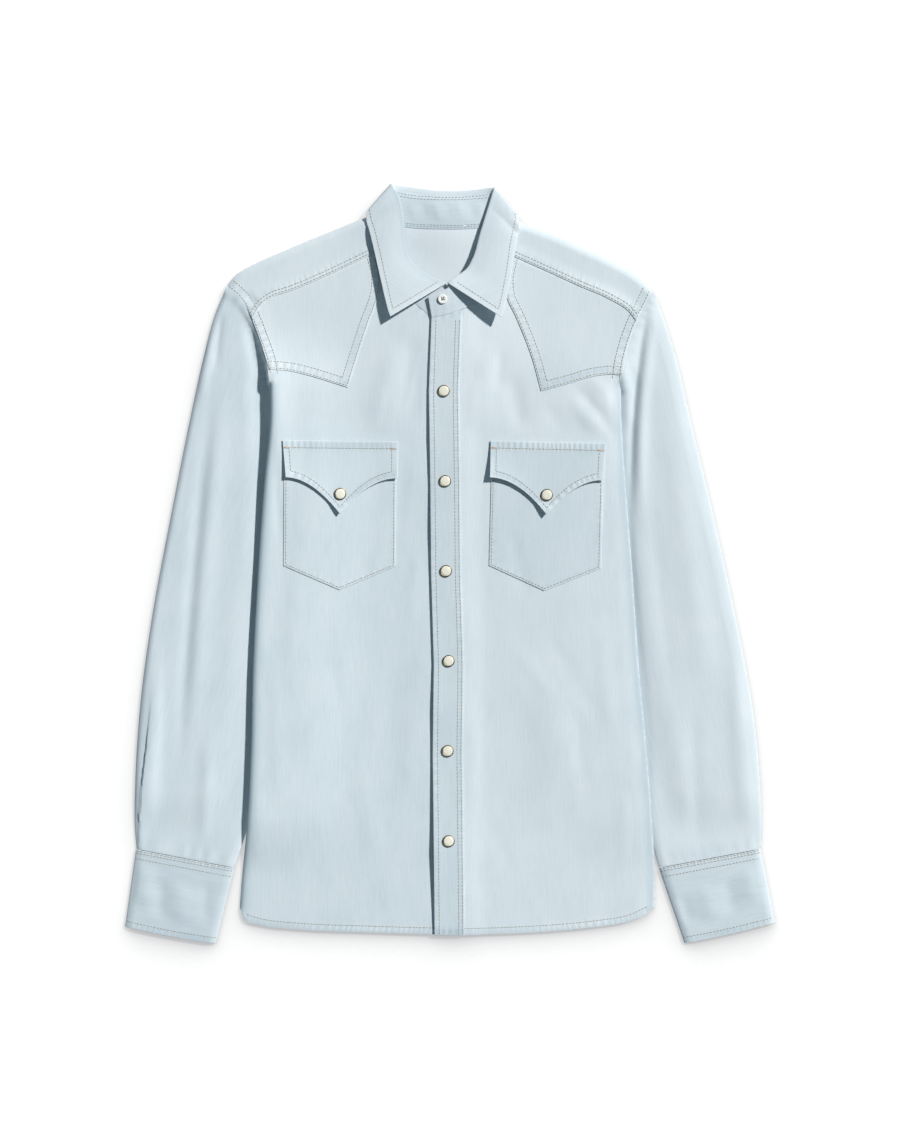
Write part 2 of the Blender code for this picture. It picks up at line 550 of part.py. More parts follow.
def sleeve(side):
    """A sleeve, from the armhole seam to the cuff: two layers that meet in its inner and outer folds."""
    sign = SIDES[side]
    head_share = 0.19
    head, arm = spread(6, 0, head_share), spread(17, head_share, 1)[1:]
    rows = np.concatenate((head, arm))
    places = spread(12, 0.9, 0)
    play = SEAM_PLAY + UNDERARM_PLAY * ease((0.3 - places) / 0.3)
    armhole = curve(ARMHOLE[side], places) + np.array((sign * 0.93, -0.37)) * play[:, None]
    cuff_outer, cuff_inner = np.array(CUFF[side][0], float), np.array(CUFF[side][1], float)
    seam = cuff_outer - cuff_inner
    clear = np.array((-seam[1], seam[0])) / np.linalg.norm(seam) * sign * (GAP + CLOTH / 4)
    inner_edge = np.array(SLEEVE_INNER[side], float)
    inner_edge[0] = armhole[-1]
    inner_edge[-1] = cuff_inner + clear
    outer_edge = np.array(SLEEVE_OUTER[side], float)
    outer_edge[-1] = cuff_outer + clear
    inner = joined((armhole, inner_edge), (head_share, 1 - head_share), rows)
    outer = curve(outer_edge, 0.015 + rows * 0.985)
    width = np.linalg.norm(outer - inner, axis=1)
    turn = fold_columns(1.0) * np.minimum(1.0, width / NARROW)[:, None] / width[:, None]
    middle_share = spread(9)[1:-1]
    between = turn[:, 2:] + (1 - 2 * turn[:, 2:]) * middle_share
    across = np.concatenate((turn, between, 1 - turn[:, ::-1]), axis=1)[..., None]
    plan = inner[:, None] * (1 - across) + outer[:, None] * across
    low, high = sleeve_layers(plan, side)
    folded = rows >= head_share
    low[folded, 0] = high[folded, 0] = (low[folded, 0] + high[folded, 0]) / 2
    low[:, -1] = high[:, -1] = (low[:, -1] + high[:, -1]) / 2
    cloth("sleeve_" + side, (lift(plan, low), lift(plan, high)))


def cuff(side):
    """A fastened barrel cuff: two layers that meet in its inner and outer folds."""
    upper_outer, upper_inner, lower_inner, lower_outer = (np.array(corner, float) for corner in CUFF[side])
    edge = fold_columns(100.0)
    across = np.concatenate((edge, spread(6, 0.18, 0.82), 1 - edge[::-1]))
    up = spread(5)
    top = upper_inner + (upper_outer - upper_inner) * across[:, None]
    foot = lower_inner + (lower_outer - lower_inner) * across[:, None]
    foot[:, 1] -= 1.2 * np.sin(math.pi * across)
    first = lower_inner + (upper_inner - lower_inner) * up[:, None]
    last = lower_outer + (upper_outer - lower_outer) * up[:, None]
    plan = patch(across, up, foot, top, first, last)
    away = np.minimum(across, 1 - across) * 100.0
    half = np.broadcast_to(CUFF_LOFT / 2 * closing(away), plan.shape[:2])
    middle = TWO_PLY / 2 + CUFF_LOFT / 2
    swell = 0.5 * np.sin(math.pi * across) * np.sin(math.pi * up)[:, None]
    cloth("cuff_" + side, (lift(plan, middle - half), lift(plan, middle + half + swell)), wall=TWO_PLY)


def collar_part(part, tabs):
    """Sections of a part of the collar, with or without the stand's tabs, as neck, roll and edge points."""
    marks = COLLAR_MARKS[part]
    length = np.linalg.norm(np.diff(COLLAR_ROLL[part], axis=0), axis=1).sum()
    start = marks[1] if part == "right" and not tabs else 0.0
    end = marks[-2] if part == "left" and not tabs else 1.0
    beside = np.array(TURN_COLUMNS) / length
    places = spread(COLLAR_COLUMNS[part], start, end)
    if part != "left":
        places = np.concatenate((places[places < 1 - 1.4 * beside[-1]], 1 - beside[::-1]))
    if part != "right":
        places = np.concatenate((beside, places[places > 1.4 * beside[-1]]))
    neck_plan, roll, edge = (curve(table[part], places, marks)
                             for table in (COLLAR_PLAN, COLLAR_ROLL, COLLAR_EDGE))
    middle, half, _ = body_lie(neck_plan)
    height = middle - half if part == "back" else middle + half
    if part == "left":
        lap, top = marks[list(LAPPED)]
        lapped = places > marks[FRONT_NECK["left"][0]]
        climb = OVERLAY * ease((places - lap) / (top - lap))
        height = np.where(lapped, overlap_layer(neck_plan) + climb, height)
    for line in (roll, edge):
        for side, turn, other in (("right", -1, 0), ("left", 0, -1)):
            if part in (side, "back"):
                axis = np.array((COLLAR_PLAN[side][turn], COLLAR_ROLL[side][turn, :2]))
                outward = np.array((axis[0] - axis[1], axis[1] - axis[0])) * 0.5 + axis
                away = distance(line, outward)
                table = COLLAR_ROLL if line is roll else COLLAR_EDGE
                mid = (table[side][turn, 2] + table["back"][other, 2]) / 2
                line[:, 2] = mid + (line[:, 2] - mid) * closing(away, COLLAR_REACH)
    return lift(neck_plan, height), roll, edge


def collar_sections(tabs):
    """The whole collar's sections: neck, roll, free edge, the way up and the side its fall lies on."""
    parts = [collar_part(part, tabs) for part in COLLAR]
    neck, roll, edge = (np.concatenate([lines[k][min(part, 1):] for part, lines in enumerate(parts)])
                        for k in range(3))
    rise = roll - neck
    rise /= np.linalg.norm(rise, axis=1)[:, None]
    neck = neck + rise * (SEAM_PLAY + GAP)
    middle = (neck + roll) / 2
    run = np.zeros_like(middle)
    run[1:-1] = middle[2:] - middle[:-2]
    run[0], run[-1] = middle[1] - middle[0], middle[-1] - middle[-2]
    out = -np.cross(run, rise)
    out /= np.linalg.norm(out, axis=1)[:, None]
    return neck, roll, edge, rise, out


def collar_stand():
    """The stand: a band from the neck seam to just under the roll, its ends lapped at the front."""
    neck, roll, _, _, _ = collar_sections(True)
    grid = np.stack([neck + (roll - neck) * share for share in spread(4, 0, STAND_SHARE)])
    cloth("collar_stand", (grid,), wall=TWO_PLY)


def collar_fall():
    """The fall: from the stand's upper edge it turns over the roll and comes down to its points."""
    neck, roll, edge, rise, out = collar_sections(False)
    turn = ROLL_RADIUS
    start = neck + (roll - neck) * (STAND_SHARE + 0.03)
    outer = roll - rise * turn + out * 2 * turn
    lines = [start, roll - rise * turn, roll + out * turn, outer]
    crown = out * FALL_BULGE * np.clip(out[:, 2:], 0.0, 1.0)
    for share in (0.15, 0.4, 0.7, 1.0):
        line = outer + (edge - outer) * share + crown * math.sin(math.pi * share)
        off = ((line - neck) * out).sum(-1, keepdims=True)
        lines.append(line + out * np.maximum(2 * turn - off, 0.0))
    grid = np.stack(lines)
    grid[..., 2] = np.maximum(grid[..., 2], TWO_PLY / 2)
    cloth("collar_fall", (grid,), wall=TWO_PLY)


def turned(name, profile, finish):
    """Round piece from its half outline (radius, height), turned about Z."""
    bm = bmesh.new()
    verts = [bm.verts.new((radius * MM, 0.0, height * MM)) for radius, height in profile]
    edges = [bm.edges.new(pair) for pair in zip(verts, verts[1:])]
    if profile[0][0] > 0:
        edges.append(bm.edges.new((verts[-1], verts[0])))
    bmesh.ops.spin(bm, geom=verts + edges, cent=(0, 0, 0), axis=(0, 0, 1), angle=2 * math.pi,
                   steps=ROUND_SIDES)
    bmesh.ops.remove_doubles(bm, verts=bm.verts, dist=WELD)
    bmesh.ops.recalc_face_normals(bm, faces=bm.faces)
    return add_object(name, bm, finish)


def seat(piece, x, y, height, raised=0.0):
    """Sets a fastening on the cloth whose middle height is given by height(plan), square to it."""
    reach = 4.0
    around = np.array(((x, y), (x + reach, y), (x - reach, y), (x, y + reach), (x, y - reach)))
    z = height(around)
    normal = Vector(((z[2] - z[1]) / (2 * reach), (z[4] - z[3]) / (2 * reach), 1.0)).normalized()
    piece.rotation_euler = normal.to_track_quat("Z", "Y").to_euler()
    piece.location = metres((x, y, z[1:].mean())) + normal * (CLOTH / 2 + GAP + raised) * MM


def snap(name, x, y, height):
    """A pearl snap: a metal ring with a domed cap inside it."""
    outer, inner, tall = SNAP_RING
    ring = turned("snap_ring_" + name, ((inner, 0), (outer, 0), (outer, tall * 0.6), (outer - 0.25, tall),
                                        (inner + 0.15, tall), (inner, tall * 0.8)), RING_METAL)
    radius, dome = SNAP_CAP
    cap = turned("snap_cap_" + name, ((0, 0), (radius, 0), (radius, dome * 0.6), (radius * 0.8, dome * 0.87),
                                      (radius * 0.45, dome * 0.97), (0, dome)), PEARL)
    for piece in (ring, cap):
        seat(piece, x, y, height)


def collar_button():
    """A four-hole button on the stand's lapped end."""
    radius, thick, hole, ring = BUTTON
    outline = ((0, 0), (radius * 0.8, 0), (radius, thick * 0.35), (radius, thick * 0.7),
               (radius * 0.86, thick), (radius * 0.66, thick * 0.75), (0, thick * 0.7))
    button = turned("collar_button", outline, SHELL_BUTTON)
    for k in range(4):
        bm = bmesh.new()
        bmesh.ops.create_cone(bm, cap_ends=True, segments=8, radius1=hole * MM, radius2=hole * MM,
                              depth=4 * thick * MM)
        turn = math.radians(45 + 90 * k)
        across, up = ring * math.cos(turn) * MM, ring * math.sin(turn) * MM
        bmesh.ops.translate(bm, verts=bm.verts, vec=(across, up, 0))
        drill = add_object(f"button_drill_{k}", bm, SHELL_BUTTON)
        drill.hide_render = True
        drill.display_type = "WIRE"
        drill.parent = button
        cut = button.modifiers.new(f"hole {k}", "BOOLEAN")
        cut.operation = "DIFFERENCE"
        cut.object = drill
    x, y = BUTTON_PLACE
    neck, roll, _, _, out = collar_sections(True)
    level = (neck + roll) / 2
    near = np.argmin(np.linalg.norm(level - (x, y, level[-1, 2]), axis=1))
    level, normal = level[near], Vector(out[near])
    button.rotation_euler = normal.to_track_quat("Z", "Y").to_euler()
    button.location = metres((x, y, level[2])) + normal * (TWO_PLY / 2 + GAP) * MM


def main():
    for item in list(bpy.data.objects):
        bpy.data.objects.remove(item, do_unlink=True)
    back()
    yoke()
    for side in SIDES:
        front(side)
        front_yoke(side)
        pocket(side)
        flap(side)
        sleeve(side)
        cuff(side)
    placket()
    collar_stand()
    collar_fall()
    for k in range(SNAP_COUNT):
        y = LOWEST_SNAP + SNAP_PITCH * k
        snap(f"placket_{k + 1}", float(placket_middle(y)), y, lambda plan: overlap_layer(plan) + OVERLAY)
    for side in SIDES:
        snap_v = 1 - FLAP_SNAP_UP / (FLAP["side"] + FLAP["point"])
        point = flap_plan(side, np.array(0.0), np.array(snap_v))
        snap("pocket_" + side, point[0], point[1],
             lambda plan, side=side: flap_height(side, plan))
    collar_button()


if __name__ == "__main__":
    main()
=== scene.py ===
"""Washed denim western shirt: the cloth, the stitching, the snaps and the stage, fitted to the loaded frame.

Every piece is drafted in millimetres as a tailor does: x from the centre front towards the wearer's
left, y up from the hem and z up from the surface the shirt lies on. place() moves a draft to the frame.
"""

import math

import bpy
import numpy as np
from bpy.props import FloatProperty, FloatVectorProperty, PointerProperty
from mathutils import Matrix, Vector


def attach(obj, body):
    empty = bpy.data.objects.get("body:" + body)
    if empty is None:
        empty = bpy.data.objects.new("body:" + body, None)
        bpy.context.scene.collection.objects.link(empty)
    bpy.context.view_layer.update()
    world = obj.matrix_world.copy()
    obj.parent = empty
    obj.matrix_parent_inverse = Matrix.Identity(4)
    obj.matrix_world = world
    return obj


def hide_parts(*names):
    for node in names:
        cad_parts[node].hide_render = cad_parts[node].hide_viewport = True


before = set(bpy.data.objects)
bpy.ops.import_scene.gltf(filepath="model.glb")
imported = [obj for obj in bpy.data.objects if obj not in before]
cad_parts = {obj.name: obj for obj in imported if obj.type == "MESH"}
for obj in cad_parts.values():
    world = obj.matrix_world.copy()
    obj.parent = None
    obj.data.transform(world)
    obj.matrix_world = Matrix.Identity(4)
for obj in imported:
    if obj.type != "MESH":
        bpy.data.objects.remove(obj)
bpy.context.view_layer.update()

bl_info = {
    "name": "Denim western shirt",
    "version": (1, 0, 0),
    "blender": (4, 5, 0),
    "location": "3D View > Sidebar > Shirt",
    "description": "Sews a washed denim western shirt, laid flat, piece by piece",
    "category": "Add Mesh",
}

MM = 0.001
ORIGIN = (3.0, 373.0)            # the draft's point that lies over the frame's origin
COARSE = 1.0
SIDES = {"right": -1, "left": 1}

# ---------------------------------------------------------------- sizes of the draft, in millimetres
# A ramp is where something starts to rise from 0 to 1, and the distance over which it does.
# A spot is x and y of a round swelling's middle, then how wide and how high it is in plan.

CLOTH = 1.0                      # one layer of denim
TWO_PLY = 1.5                    # collar and cuffs
THIN = 0.7                       # cloth of the pieces pressed flat on a panel
GAP = 0.3                        # clearance at a seam
LAYER = CLOTH + GAP              # step from one front to the other where they lap
PLACKET_STEP = 1.25              # step from the overlapping front to the placket
OVERLAY = 0.95                   # step to a piece sewn flat on a panel
FLAP_STEP = 2 * OVERLAY + 0.2    # step from a front to the flap over its pocket
WELD = 0.00001                   # points closer than this, in metres, are one
TINY = 0.000001                  # keeps a division from failing
RIM_SHARE = 0.3                  # a cut edge is rounded over this share of the wall

HEM_LOFT = 3.0                   # middle of the back to middle of the front, at the hem
CHEST_LOFT, CHEST_RAMP = 3.2, (380, 200)   # added above the chest
NECK_LOFT, NECK_SPOT = 3.0, (0, 630, 75, 55)   # added where the collar holds the front up
NECK_LIFT, NECK_REACH = 2.4, 22.0          # the back neck lies on the folded collar
NECK_PUFF, NECK_OPENING = 3.6, (6.0, 690.0, 42.0, 36.0)   # the yoke's inside is puffed up in the opening
SLEEVE_BED = {"right": 8.0, "left": 3.2}   # how far the sleeves lift the body's sides
BED_SLOPE = {"right": 85.0, "left": 130.0}   # distance over which the body comes down off the sleeve
BED_START = 6.0                  # it starts to come down this far inside the sleeve's hidden edge
BED_HEM_RAMP, BED_TOP_RAMP = (60, 60), (545, 80)   # that lift comes in above the hem and goes at the top
# How much the wearer's right side stands up off the sleeve: y, height
EDGE_LIFT = ((60, 0.0), (120, 1.4), (380, 2.2), (430, 3.4), (500, 5.0), (540, 5.0), (556, 4.0), (575, 2.6),
             (600, 1.5), (630, 0.6), (650, 0.0))
EDGE_REACH = 17.0                # and how far in from the edge

FOLD_REACH = 7.0                 # distance over which two layers close into a fold
FOLD_LINE = 0.06                 # within this distance of a fold the two layers are one
FOLD_COLUMNS = (0.0, 0.35, 0.9, 1.9, 3.3, 5.0, FOLD_REACH)   # columns of points beside a fold
FOLD_FADE = 0.35                 # a pressed crease fades over this share of its length at each end
CREASE_POINTS = 12               # points along the curve of a crease
SIDE_REACH = {"right": 3.5, "left": 15.0}   # the fronts close into their side folds over this
OUTER_REACH = {"right": 4.5, "left": 12.0}  # and the sleeves into their outer folds
PRESSED_ROUND, PRESSED_POWER = 0.25, 1.7   # how round a pressed fold still is, and how its wedge opens
SIDE_TURN = 12.0                 # how far the fronts reach under the body to the side seams
SIDE_TURN_SHARES = (1.0, 0.75, 0.5, 0.3, 0.15, 0.05, 0.0)
TURN_FADE = 30.0                 # below the underarm, distance over which the turned side runs out
PLACKET_WIDTH = 30.0
PLACKET_EASE = 22.0              # distance over which the overlap comes down beside the placket
PLACKET_CLEAR = 2.0              # and where that starts, outside the placket's edge
BACK_CORNERS = (14.0, 19.0)      # y of the back's hem at its two side seams
BACK_ARM_START = 0.92            # share of the back's height that lies below the underarm
HEM_STEP = 1.5                   # the back's hem lies this much above the fronts'
FRONT_WIDTH = 200.0              # nominal width of a front, from its side fold
NECK_COLUMN = 0.5153846          # share of that width at which the shoulder seam meets the neck
UNDERARM_SHARE = 0.87            # share of a front's rows that lies below the underarm

SLEEVE_LOFT = {"right": 2.6, "left": 1.6}   # middle to middle of a sleeve's layers, where the body covers it
SLEEVE_PUFF = 3.0                # added along the middle of the sleeve
PUFF_ACROSS, PUFF_UP = (0.16, 0.25), (95, 50)   # ramps of that: share across from the inner fold, and y
CUFF_LOFT = 4.0
CUFF_RAMP, CUFF_SHARE = (80, 40), 0.5   # below this ramp of y a sleeve takes this share of its cuff's loft
HEAD_DROP = {"right": (3.6, 16.0), "left": (11.0, 18.0)}   # a sleeve comes down over this: underarm, top
HEAD_RAMP = (600, 60)            # y over which that goes from one to the other
HEAD_TIGHT = {"right": 0.3, "left": 0.0}   # and it comes down over less by this share, at the underarm
TIGHT_RAMP = (4, 34)             # distance above the underarm over which that ends
HEAD_FLAT = 1.0                  # a sleeve stays level with the body for this distance from the armhole
HEAD_SHARE = 0.19                # share of a sleeve's rows that lies along the armhole
TUCKED = 1.6                     # how far a sleeve's head runs under the body's edge
TUCK_DEPTH = 1.2                 # a sleeve's edge lies this much inside the body's layers
FOLDS_ACROSS = (0.2, 0.15)       # ramp of a sleeve's main folds: share across from the inner fold
CREASE_CLEAR = 6.0               # its creases fade within this distance of the inner fold
LEAST_LOFT = 1.05 * CLOTH        # and leave its layers this far apart
NARROW = 45.0                    # a sleeve narrower than this closes over a shorter distance
OUTER_START = 0.86               # its outer part, with finer columns, starts at this share across
SLEEVE_TURN = 11.0               # a sleeve's grain leans by this angle

SEAM_PLAY = 1.0                  # distance between the two edges of an armhole seam
SEAM_OVER = 1.1                  # how far the yoke laps the front at the shoulder seam
SEAM_RISE, SEAM_SLOPE = 1.5, 8.0   # height of that lap, and the distance over which it comes down
SNAP_PITCH, LOWEST_SNAP, SNAP_COUNT = 90.0, 95.0, 6
SNAP_SIDES = 40                  # sides of a snap or a button
RING_WALL, CAP_CLEAR = 0.85, 0.08   # width of a snap's ring, and the gap between it and its cap
HOLES_AWAY, HOLE_RADIUS = 1.35, 0.7   # the button's four holes: distance from its middle, and radius
BUTTON_PLACE = (-4.5, 636.5)
# Side folds of the body, from the hem to the underarm: y, then x on the wearer's right and left
SIDE_FOLD = ((27, -207, 206), (60, -204.5, 206.5), (106, -199.5, 204), (187, -195, 198),
             (267, -193, 190.5), (363, -188, 184), (450, -182, 177.5), (517, -176, 173.5), (551, -176, 173))
# Hem of the two fronts, from the side fold to the far edge of each: x, y
HEM = {"right": ((-207, 27), (-202, 15), (-185, 10), (-150, 6), (-80, 3), (12, 0.3)),
       "left": ((206, 27), (202, 23), (182, 14), (150, 8.5), (110, 4.5), (50, 1.3), (-12, 0.3))}
# Shoulder folds, from the neck to the sleeve head: x, y
SHOULDER_FOLD = {"right": ((-74, 721), (-107, 708), (-165, 684), (-192, 672), (-212, 660), (-220, 650)),
                 "left": ((66, 715.5), (90, 707.5), (146, 684), (171, 672), (191, 660), (205, 647))}
# Armhole seams, from the underarm to the sleeve head: x, y. The shoulder seam meets one at its SEAM_ROW.
ARMHOLE = {"right": ((-176, 551), (-180, 576), (-188, 599), (-195, 617), (-205, 636), (-220, 650)),
           "left": ((173, 551), (176, 573), (182, 595), (190, 616), (198, 632), (205, 647))}
SEAM_ROW = 3
# Front shoulder seams, from the armhole to the neck: x, y
SHOULDER_SEAM = {"right": ((-195, 617), (-187, 631), (-176, 639.5), (-157, 646), (-117, 663), (-73, 684)),
                 "left": ((190, 616), (182, 626), (163, 638), (133, 651), (100, 666), (64, 682))}
BACK_SEAM_Y = 599.0              # seam between the back and the yoke, on the underside
# Front yokes: lower edge from the armhole to the point, then the edge up to the neck: x, y
YOKE_EDGE = {"right": ((-177.2, 566), (-157, 564.5), (-137, 560), (-117, 554), (-99, 548.5)),
             "left": ((175, 561), (163, 561.5), (149, 560), (120, 552), (94, 545))}
YOKE_RISE = {"right": ((-99, 548.5), (-92, 571), (-79, 611), (-68, 643), (-67, 661), (-72, 681.5)),
             "left": ((94, 545), (85, 578), (68, 621), (60, 638), (58, 657), (62.5, 679.5))}
# Middle line of the placket: y, x
PLACKET = ((0, 2.5), (95, 1.6), (182, 0.6), (272, 1.7), (361, -1), (451, -1.8), (545, -3.2), (622, -0.5))
PLACKET_TOP = (618.4, 626.0)     # y of its upper end at the free edge and at the other one
UNDERLAP_X = 12.0                # the right front ends here, under the placket
LAP_INSIDE = 1.0                 # and the left one this far inside the placket's free edge
# How far the placket's free edge stands up: y, height
PLACKET_LIFT = ((0, 0.0), (40, 1.3), (85, 3.2), (120, 1.8), (182, 0.5), (227, 1.6), (272, 0.5), (361, 0.4),
                (406, 1.4), (451, 0.4), (500, 1.4), (545, 0.4), (622, 0.0))

# Chest pockets: x and y of the top's middle, tilt in degrees, then how far each corner of the flap stands up
POCKET_PLACE = {"right": (-106.5, 488, -0.4), "left": (101.0, 487, -1.4)}
POCKET = {"width": 112.0, "side": 118.0, "point": 24.0}
POCKET_LINE_TOP = 8.0            # its stitching starts this far down, under the flap
FLAP = {"width": 115.0, "side": 37.0, "point": 36.0, "above": 7.0}
FLAP_LIFT = {"right": (4.0, 3.0), "left": (3.0, 5.5)}   # at the outer and the inner corner
FLAP_SNAP_UP = 20.0              # the flap's snap, above its point
FLAP_DRAWN = {"right": 3.4, "left": 1.4}   # the outer free corner is drawn in by this much
FLAP_FREE = 0.18                 # share of the corners' lift that the middle of a flap keeps
TIP_CURL, TIP_RAMP = 2.2, (58, 14)   # the flap's point curls up by this much, from this far down
FLAP_SEAM = 7.2                  # the flap's seam lies this far below its upper edge

# Sleeves, from the armhole to the cuff: x, y
SLEEVE_OUTER = {"right": ((-220, 650), (-231, 624), (-244, 576), (-257, 516), (-276, 420), (-294, 324),
                          (-307, 228), (-311.5, 160), (-312, 108), (-310.5, 86)),
                "left": ((205, 647), (214, 624), (229, 576), (243, 516), (266, 420), (287, 324),
                         (305, 228), (312, 160), (313.5, 108), (313, 86))}
SLEEVE_INNER = {"right": ((-174, 551), (-171, 538), (-168, 520), (-163, 490), (-159, 450), (-159, 380),
                          (-165, 300), (-177, 200), (-193, 130), (-204, 98), (-214.5, 67.5)),
                "left": ((171, 551), (168, 538), (165, 520), (160, 490), (156, 450), (156, 380), (163, 300),
                         (179, 200), (196, 130), (205, 98), (213.5, 67.5))}
# Hidden width of a sleeve under the body: y, width
SLEEVE_TUCK = ((100, 0), (130, 7), (200, 19), (300, 28), (400, 29), (450, 24), (490, 13), (517, 2), (551, 0))
# Cuffs: upper outer, upper inner, lower inner and lower outer corners
CUFF = {"right": ((-310.5, 86), (-214.5, 67.5), (-233, -8), (-321.5, 8.5)),
        "left": ((313, 86), (213.5, 67.5), (239, -7.5), (327.5, 12.5))}

# Main folds pressed into the front and the sleeves: x and y of both ends, width, height
FRONT_FOLDS = ((-140, 60, -110, 300, 26, 1.3), (-60, 120, -48, 330, 22, -1.0), (88, 90, 130, 330, 26, 1.2),
               (48, 300, 150, 130, 20, 0.9), (-70, 500, -50, 600, 13, 1.6), (-36, 500, -34, 610, 10, -1.2),
               (32, 500, 40, 600, 12, 1.5), (75, 500, 62, 570, 9, -1.1), (140, 500, 160, 545, 12, 1.2))
SLEEVE_FOLDS = {"right": ((-218, 590, -240, 420, -256, 250, -262, 150, 12, 2.0),
                          (-233, 560, -252, 380, -259, 296, -270, 150, 7, -2.6),
                          (-290, 300, -298, 90, 8, 1.7), (-238, 220, -244, 80, 7, 1.2)),
                "left": ((212, 600, 240, 400, 266, 200, 15, 1.6), (200, 460, 228, 200, 10, -0.9),
                         (286, 290, 300, 90, 9, 1.3), (244, 250, 252, 80, 8, -0.8))}
# Sharper creases down the sleeves: x and y of their points, width, height
SLEEVE_CREASES = {"right": ((-287, 250, -291, 193, -295, 159, -299, 125, -301, 92, 7.0, 0.8),
                            (-202, 622, -194, 588, -190, 558, 6, -2.2),
                            (-236, 612, -247, 520, 5, 1.0), (-225, 628, -233, 560, 4, -1.2)),
                  "left": ((203, 650, 194, 586, 188, 536, 185, 476, 183, 400, 3.8, -1.8),
                           (183, 470, 183, 400, 188, 320, 196, 240, 202, 170, 205, 120, 4.0, -1.4),
                           (212, 650, 201, 580, 195, 520, 194, 400, 6, 1.8),
                           (181, 580, 181, 545, 180, 500, 6, 2.0))}

# Edge of the lap over the vent in the right sleeve: y, x, and how far it stands up
VENT = ((238, -296.0, 0.0), (216, -298.0, 0.9), (193, -300.0, 1.9), (159, -304.0, 2.3), (125, -307.6, 2.0),
        (98, -309.2, 1.1), (86, -309.4, 0.0))
VENT_LAP = 8.0                   # the lap is flat again at this distance from its edge
VENT_EDGE = 0.7                  # and its edge rises over this distance

# Collar, a row for each section: the neck's x, y, the roll's x, y, z and the fall's free edge's x, y, z
COLLAR_RIGHT = (("tab", 12, 626.5, 13, 650, 11.0, -56.5, 618.5, 19.0),
                ("front", 0, 622.5, -1, 653, 12.0, -56.5, 618.5, 19.0),
                ("button side", -16, 622, -12, 658, 12.3, -59, 626, 18.6),
                ("below the roll", -32, 634, -22, 663, 12.5, -62, 638, 18.0),
                ("beside the neck", -55, 656, -36, 675, 12.6, -67, 660, 16.5),
                ("shoulder seam", -73, 684, -41.5, 692, 12.4, -72, 682, 14.8),
                ("shoulder", -77, 704, -43.5, 720, 11.2, -77.5, 705, 12.6),
                ("above the shoulder", -76, 715, -48.5, 741, 10.4, -80.5, 716, 11.2),
                ("turn", -74, 721, -54, 751.5, 10.0, -80.5, 723, 10.6))
COLLAR_BACK = (("right turn", -74, 721, -54, 751.5, 6.0, -80.5, 723, 5.6),
               ("right back", -60, 714.5, -49.5, 751, 4.6, -69, 717, 3.0),
               ("right of the middle", -44, 711, -36, 749.5, 3.4, -48, 713.5, 0.8),
               ("middle back", -5, 708.3, -5, 745.8, 3.4, -5, 711.5, 0.8),
               ("left of the middle", 32, 709.5, 28, 747, 3.4, 36, 712.5, 0.8),
               ("left back", 52, 712, 41, 748.5, 4.6, 58, 715, 3.0),
               ("left turn", 66, 715.5, 46.5, 748.5, 6.0, 70.8, 719, 5.6))
COLLAR_LEFT = (("turn", 66, 715.5, 46.5, 748.5, 7.0, 70.8, 719, 8.6),
               ("above the shoulder", 69, 710, 44.5, 740, 7.6, 72.0, 713, 9.4),
               ("shoulder", 69.5, 699, 38.5, 721, 8.6, 70.5, 702, 11.0),
               ("shoulder seam", 64, 682, 33, 703, 9.8, 68.5, 690, 12.8),
               ("beside the neck", 50, 655, 26.5, 680, 11.4, 64.5, 663, 16.0),
               ("below the roll", 32, 638, 18.5, 666, 12.6, 60.5, 642, 18.3),
               ("button side", 18, 629, 9, 659, 14.2, 57.5, 628, 20.0),
               ("front", 0, 622.5, 1, 653, 15.8, 54.5, 617.5, 21.0),
               ("tab", -15.5, 619.5, -19.5, 643, 15.2, 54.5, 617.5, 21.0))
COLLAR = {"right": COLLAR_RIGHT, "back": COLLAR_BACK, "left": COLLAR_LEFT}
# Sections between which the neck belongs to a front or to a side of the yoke
FRONT_NECK = {"right": (5, 0), "left": (3, 8)}
YOKE_NECK = {"right": (5, 8), "left": (3, 0)}
LAPPED = (5, 7)                  # between these sections of its left part the stand climbs onto the placket
TURN_COLUMNS = (0.0, 0.9, 1.8, 2.7, 3.6, 4.5, 6.0, 8.0, 10.0, 12.0)   # columns of points beside a turn
COLLAR_REACH = 7.0               # distance over which the collar's two layers close at a turn
STAND_SHARE = 0.77               # the stand's part of the way from the neck to the roll
STAND_OVER, FALL_OVER = 0.05, 0.03   # the stand ends above that share, and the fall starts above it
STAND_CLEAR = 0.3                # the stand's foot is raised off its seam by this much
STAND_BELLY, BELLY_WIDE, BELLY_RAMP = 2.2, 38.0, (690, 15)   # the stand bulges into the neck at the back
ROLL_RADIUS = 1.0                # the fall turns over the stand on this radius
ROLL_LINES = 7                   # lines of points round that turn
ROLL_PRESSED = 0.35              # the roll is pressed to this share of a round one
FALL_BULGE = 1.0                 # the fall is crowned by this much
FALL_START = 2 + ROLL_LINES - 1  # the fall's own cloth starts at this line of points

# Ripples pressed into the stand at the back of the neck: x and y of both ends, width, height
STAND_RIPPLES = ((-38, 736, -30, 712, 3.0, 0.5), (-27, 738, -19, 714, 3.2, -0.4),
                 (-14, 737, -6, 712, 3.0, 0.5), (-2, 738, 4, 714, 3.4, -0.35), (10, 738, 15, 716, 3.0, 0.45),
                 (22, 737, 26, 714, 3.0, -0.4), (32, 736, 34, 716, 2.8, 0.4))
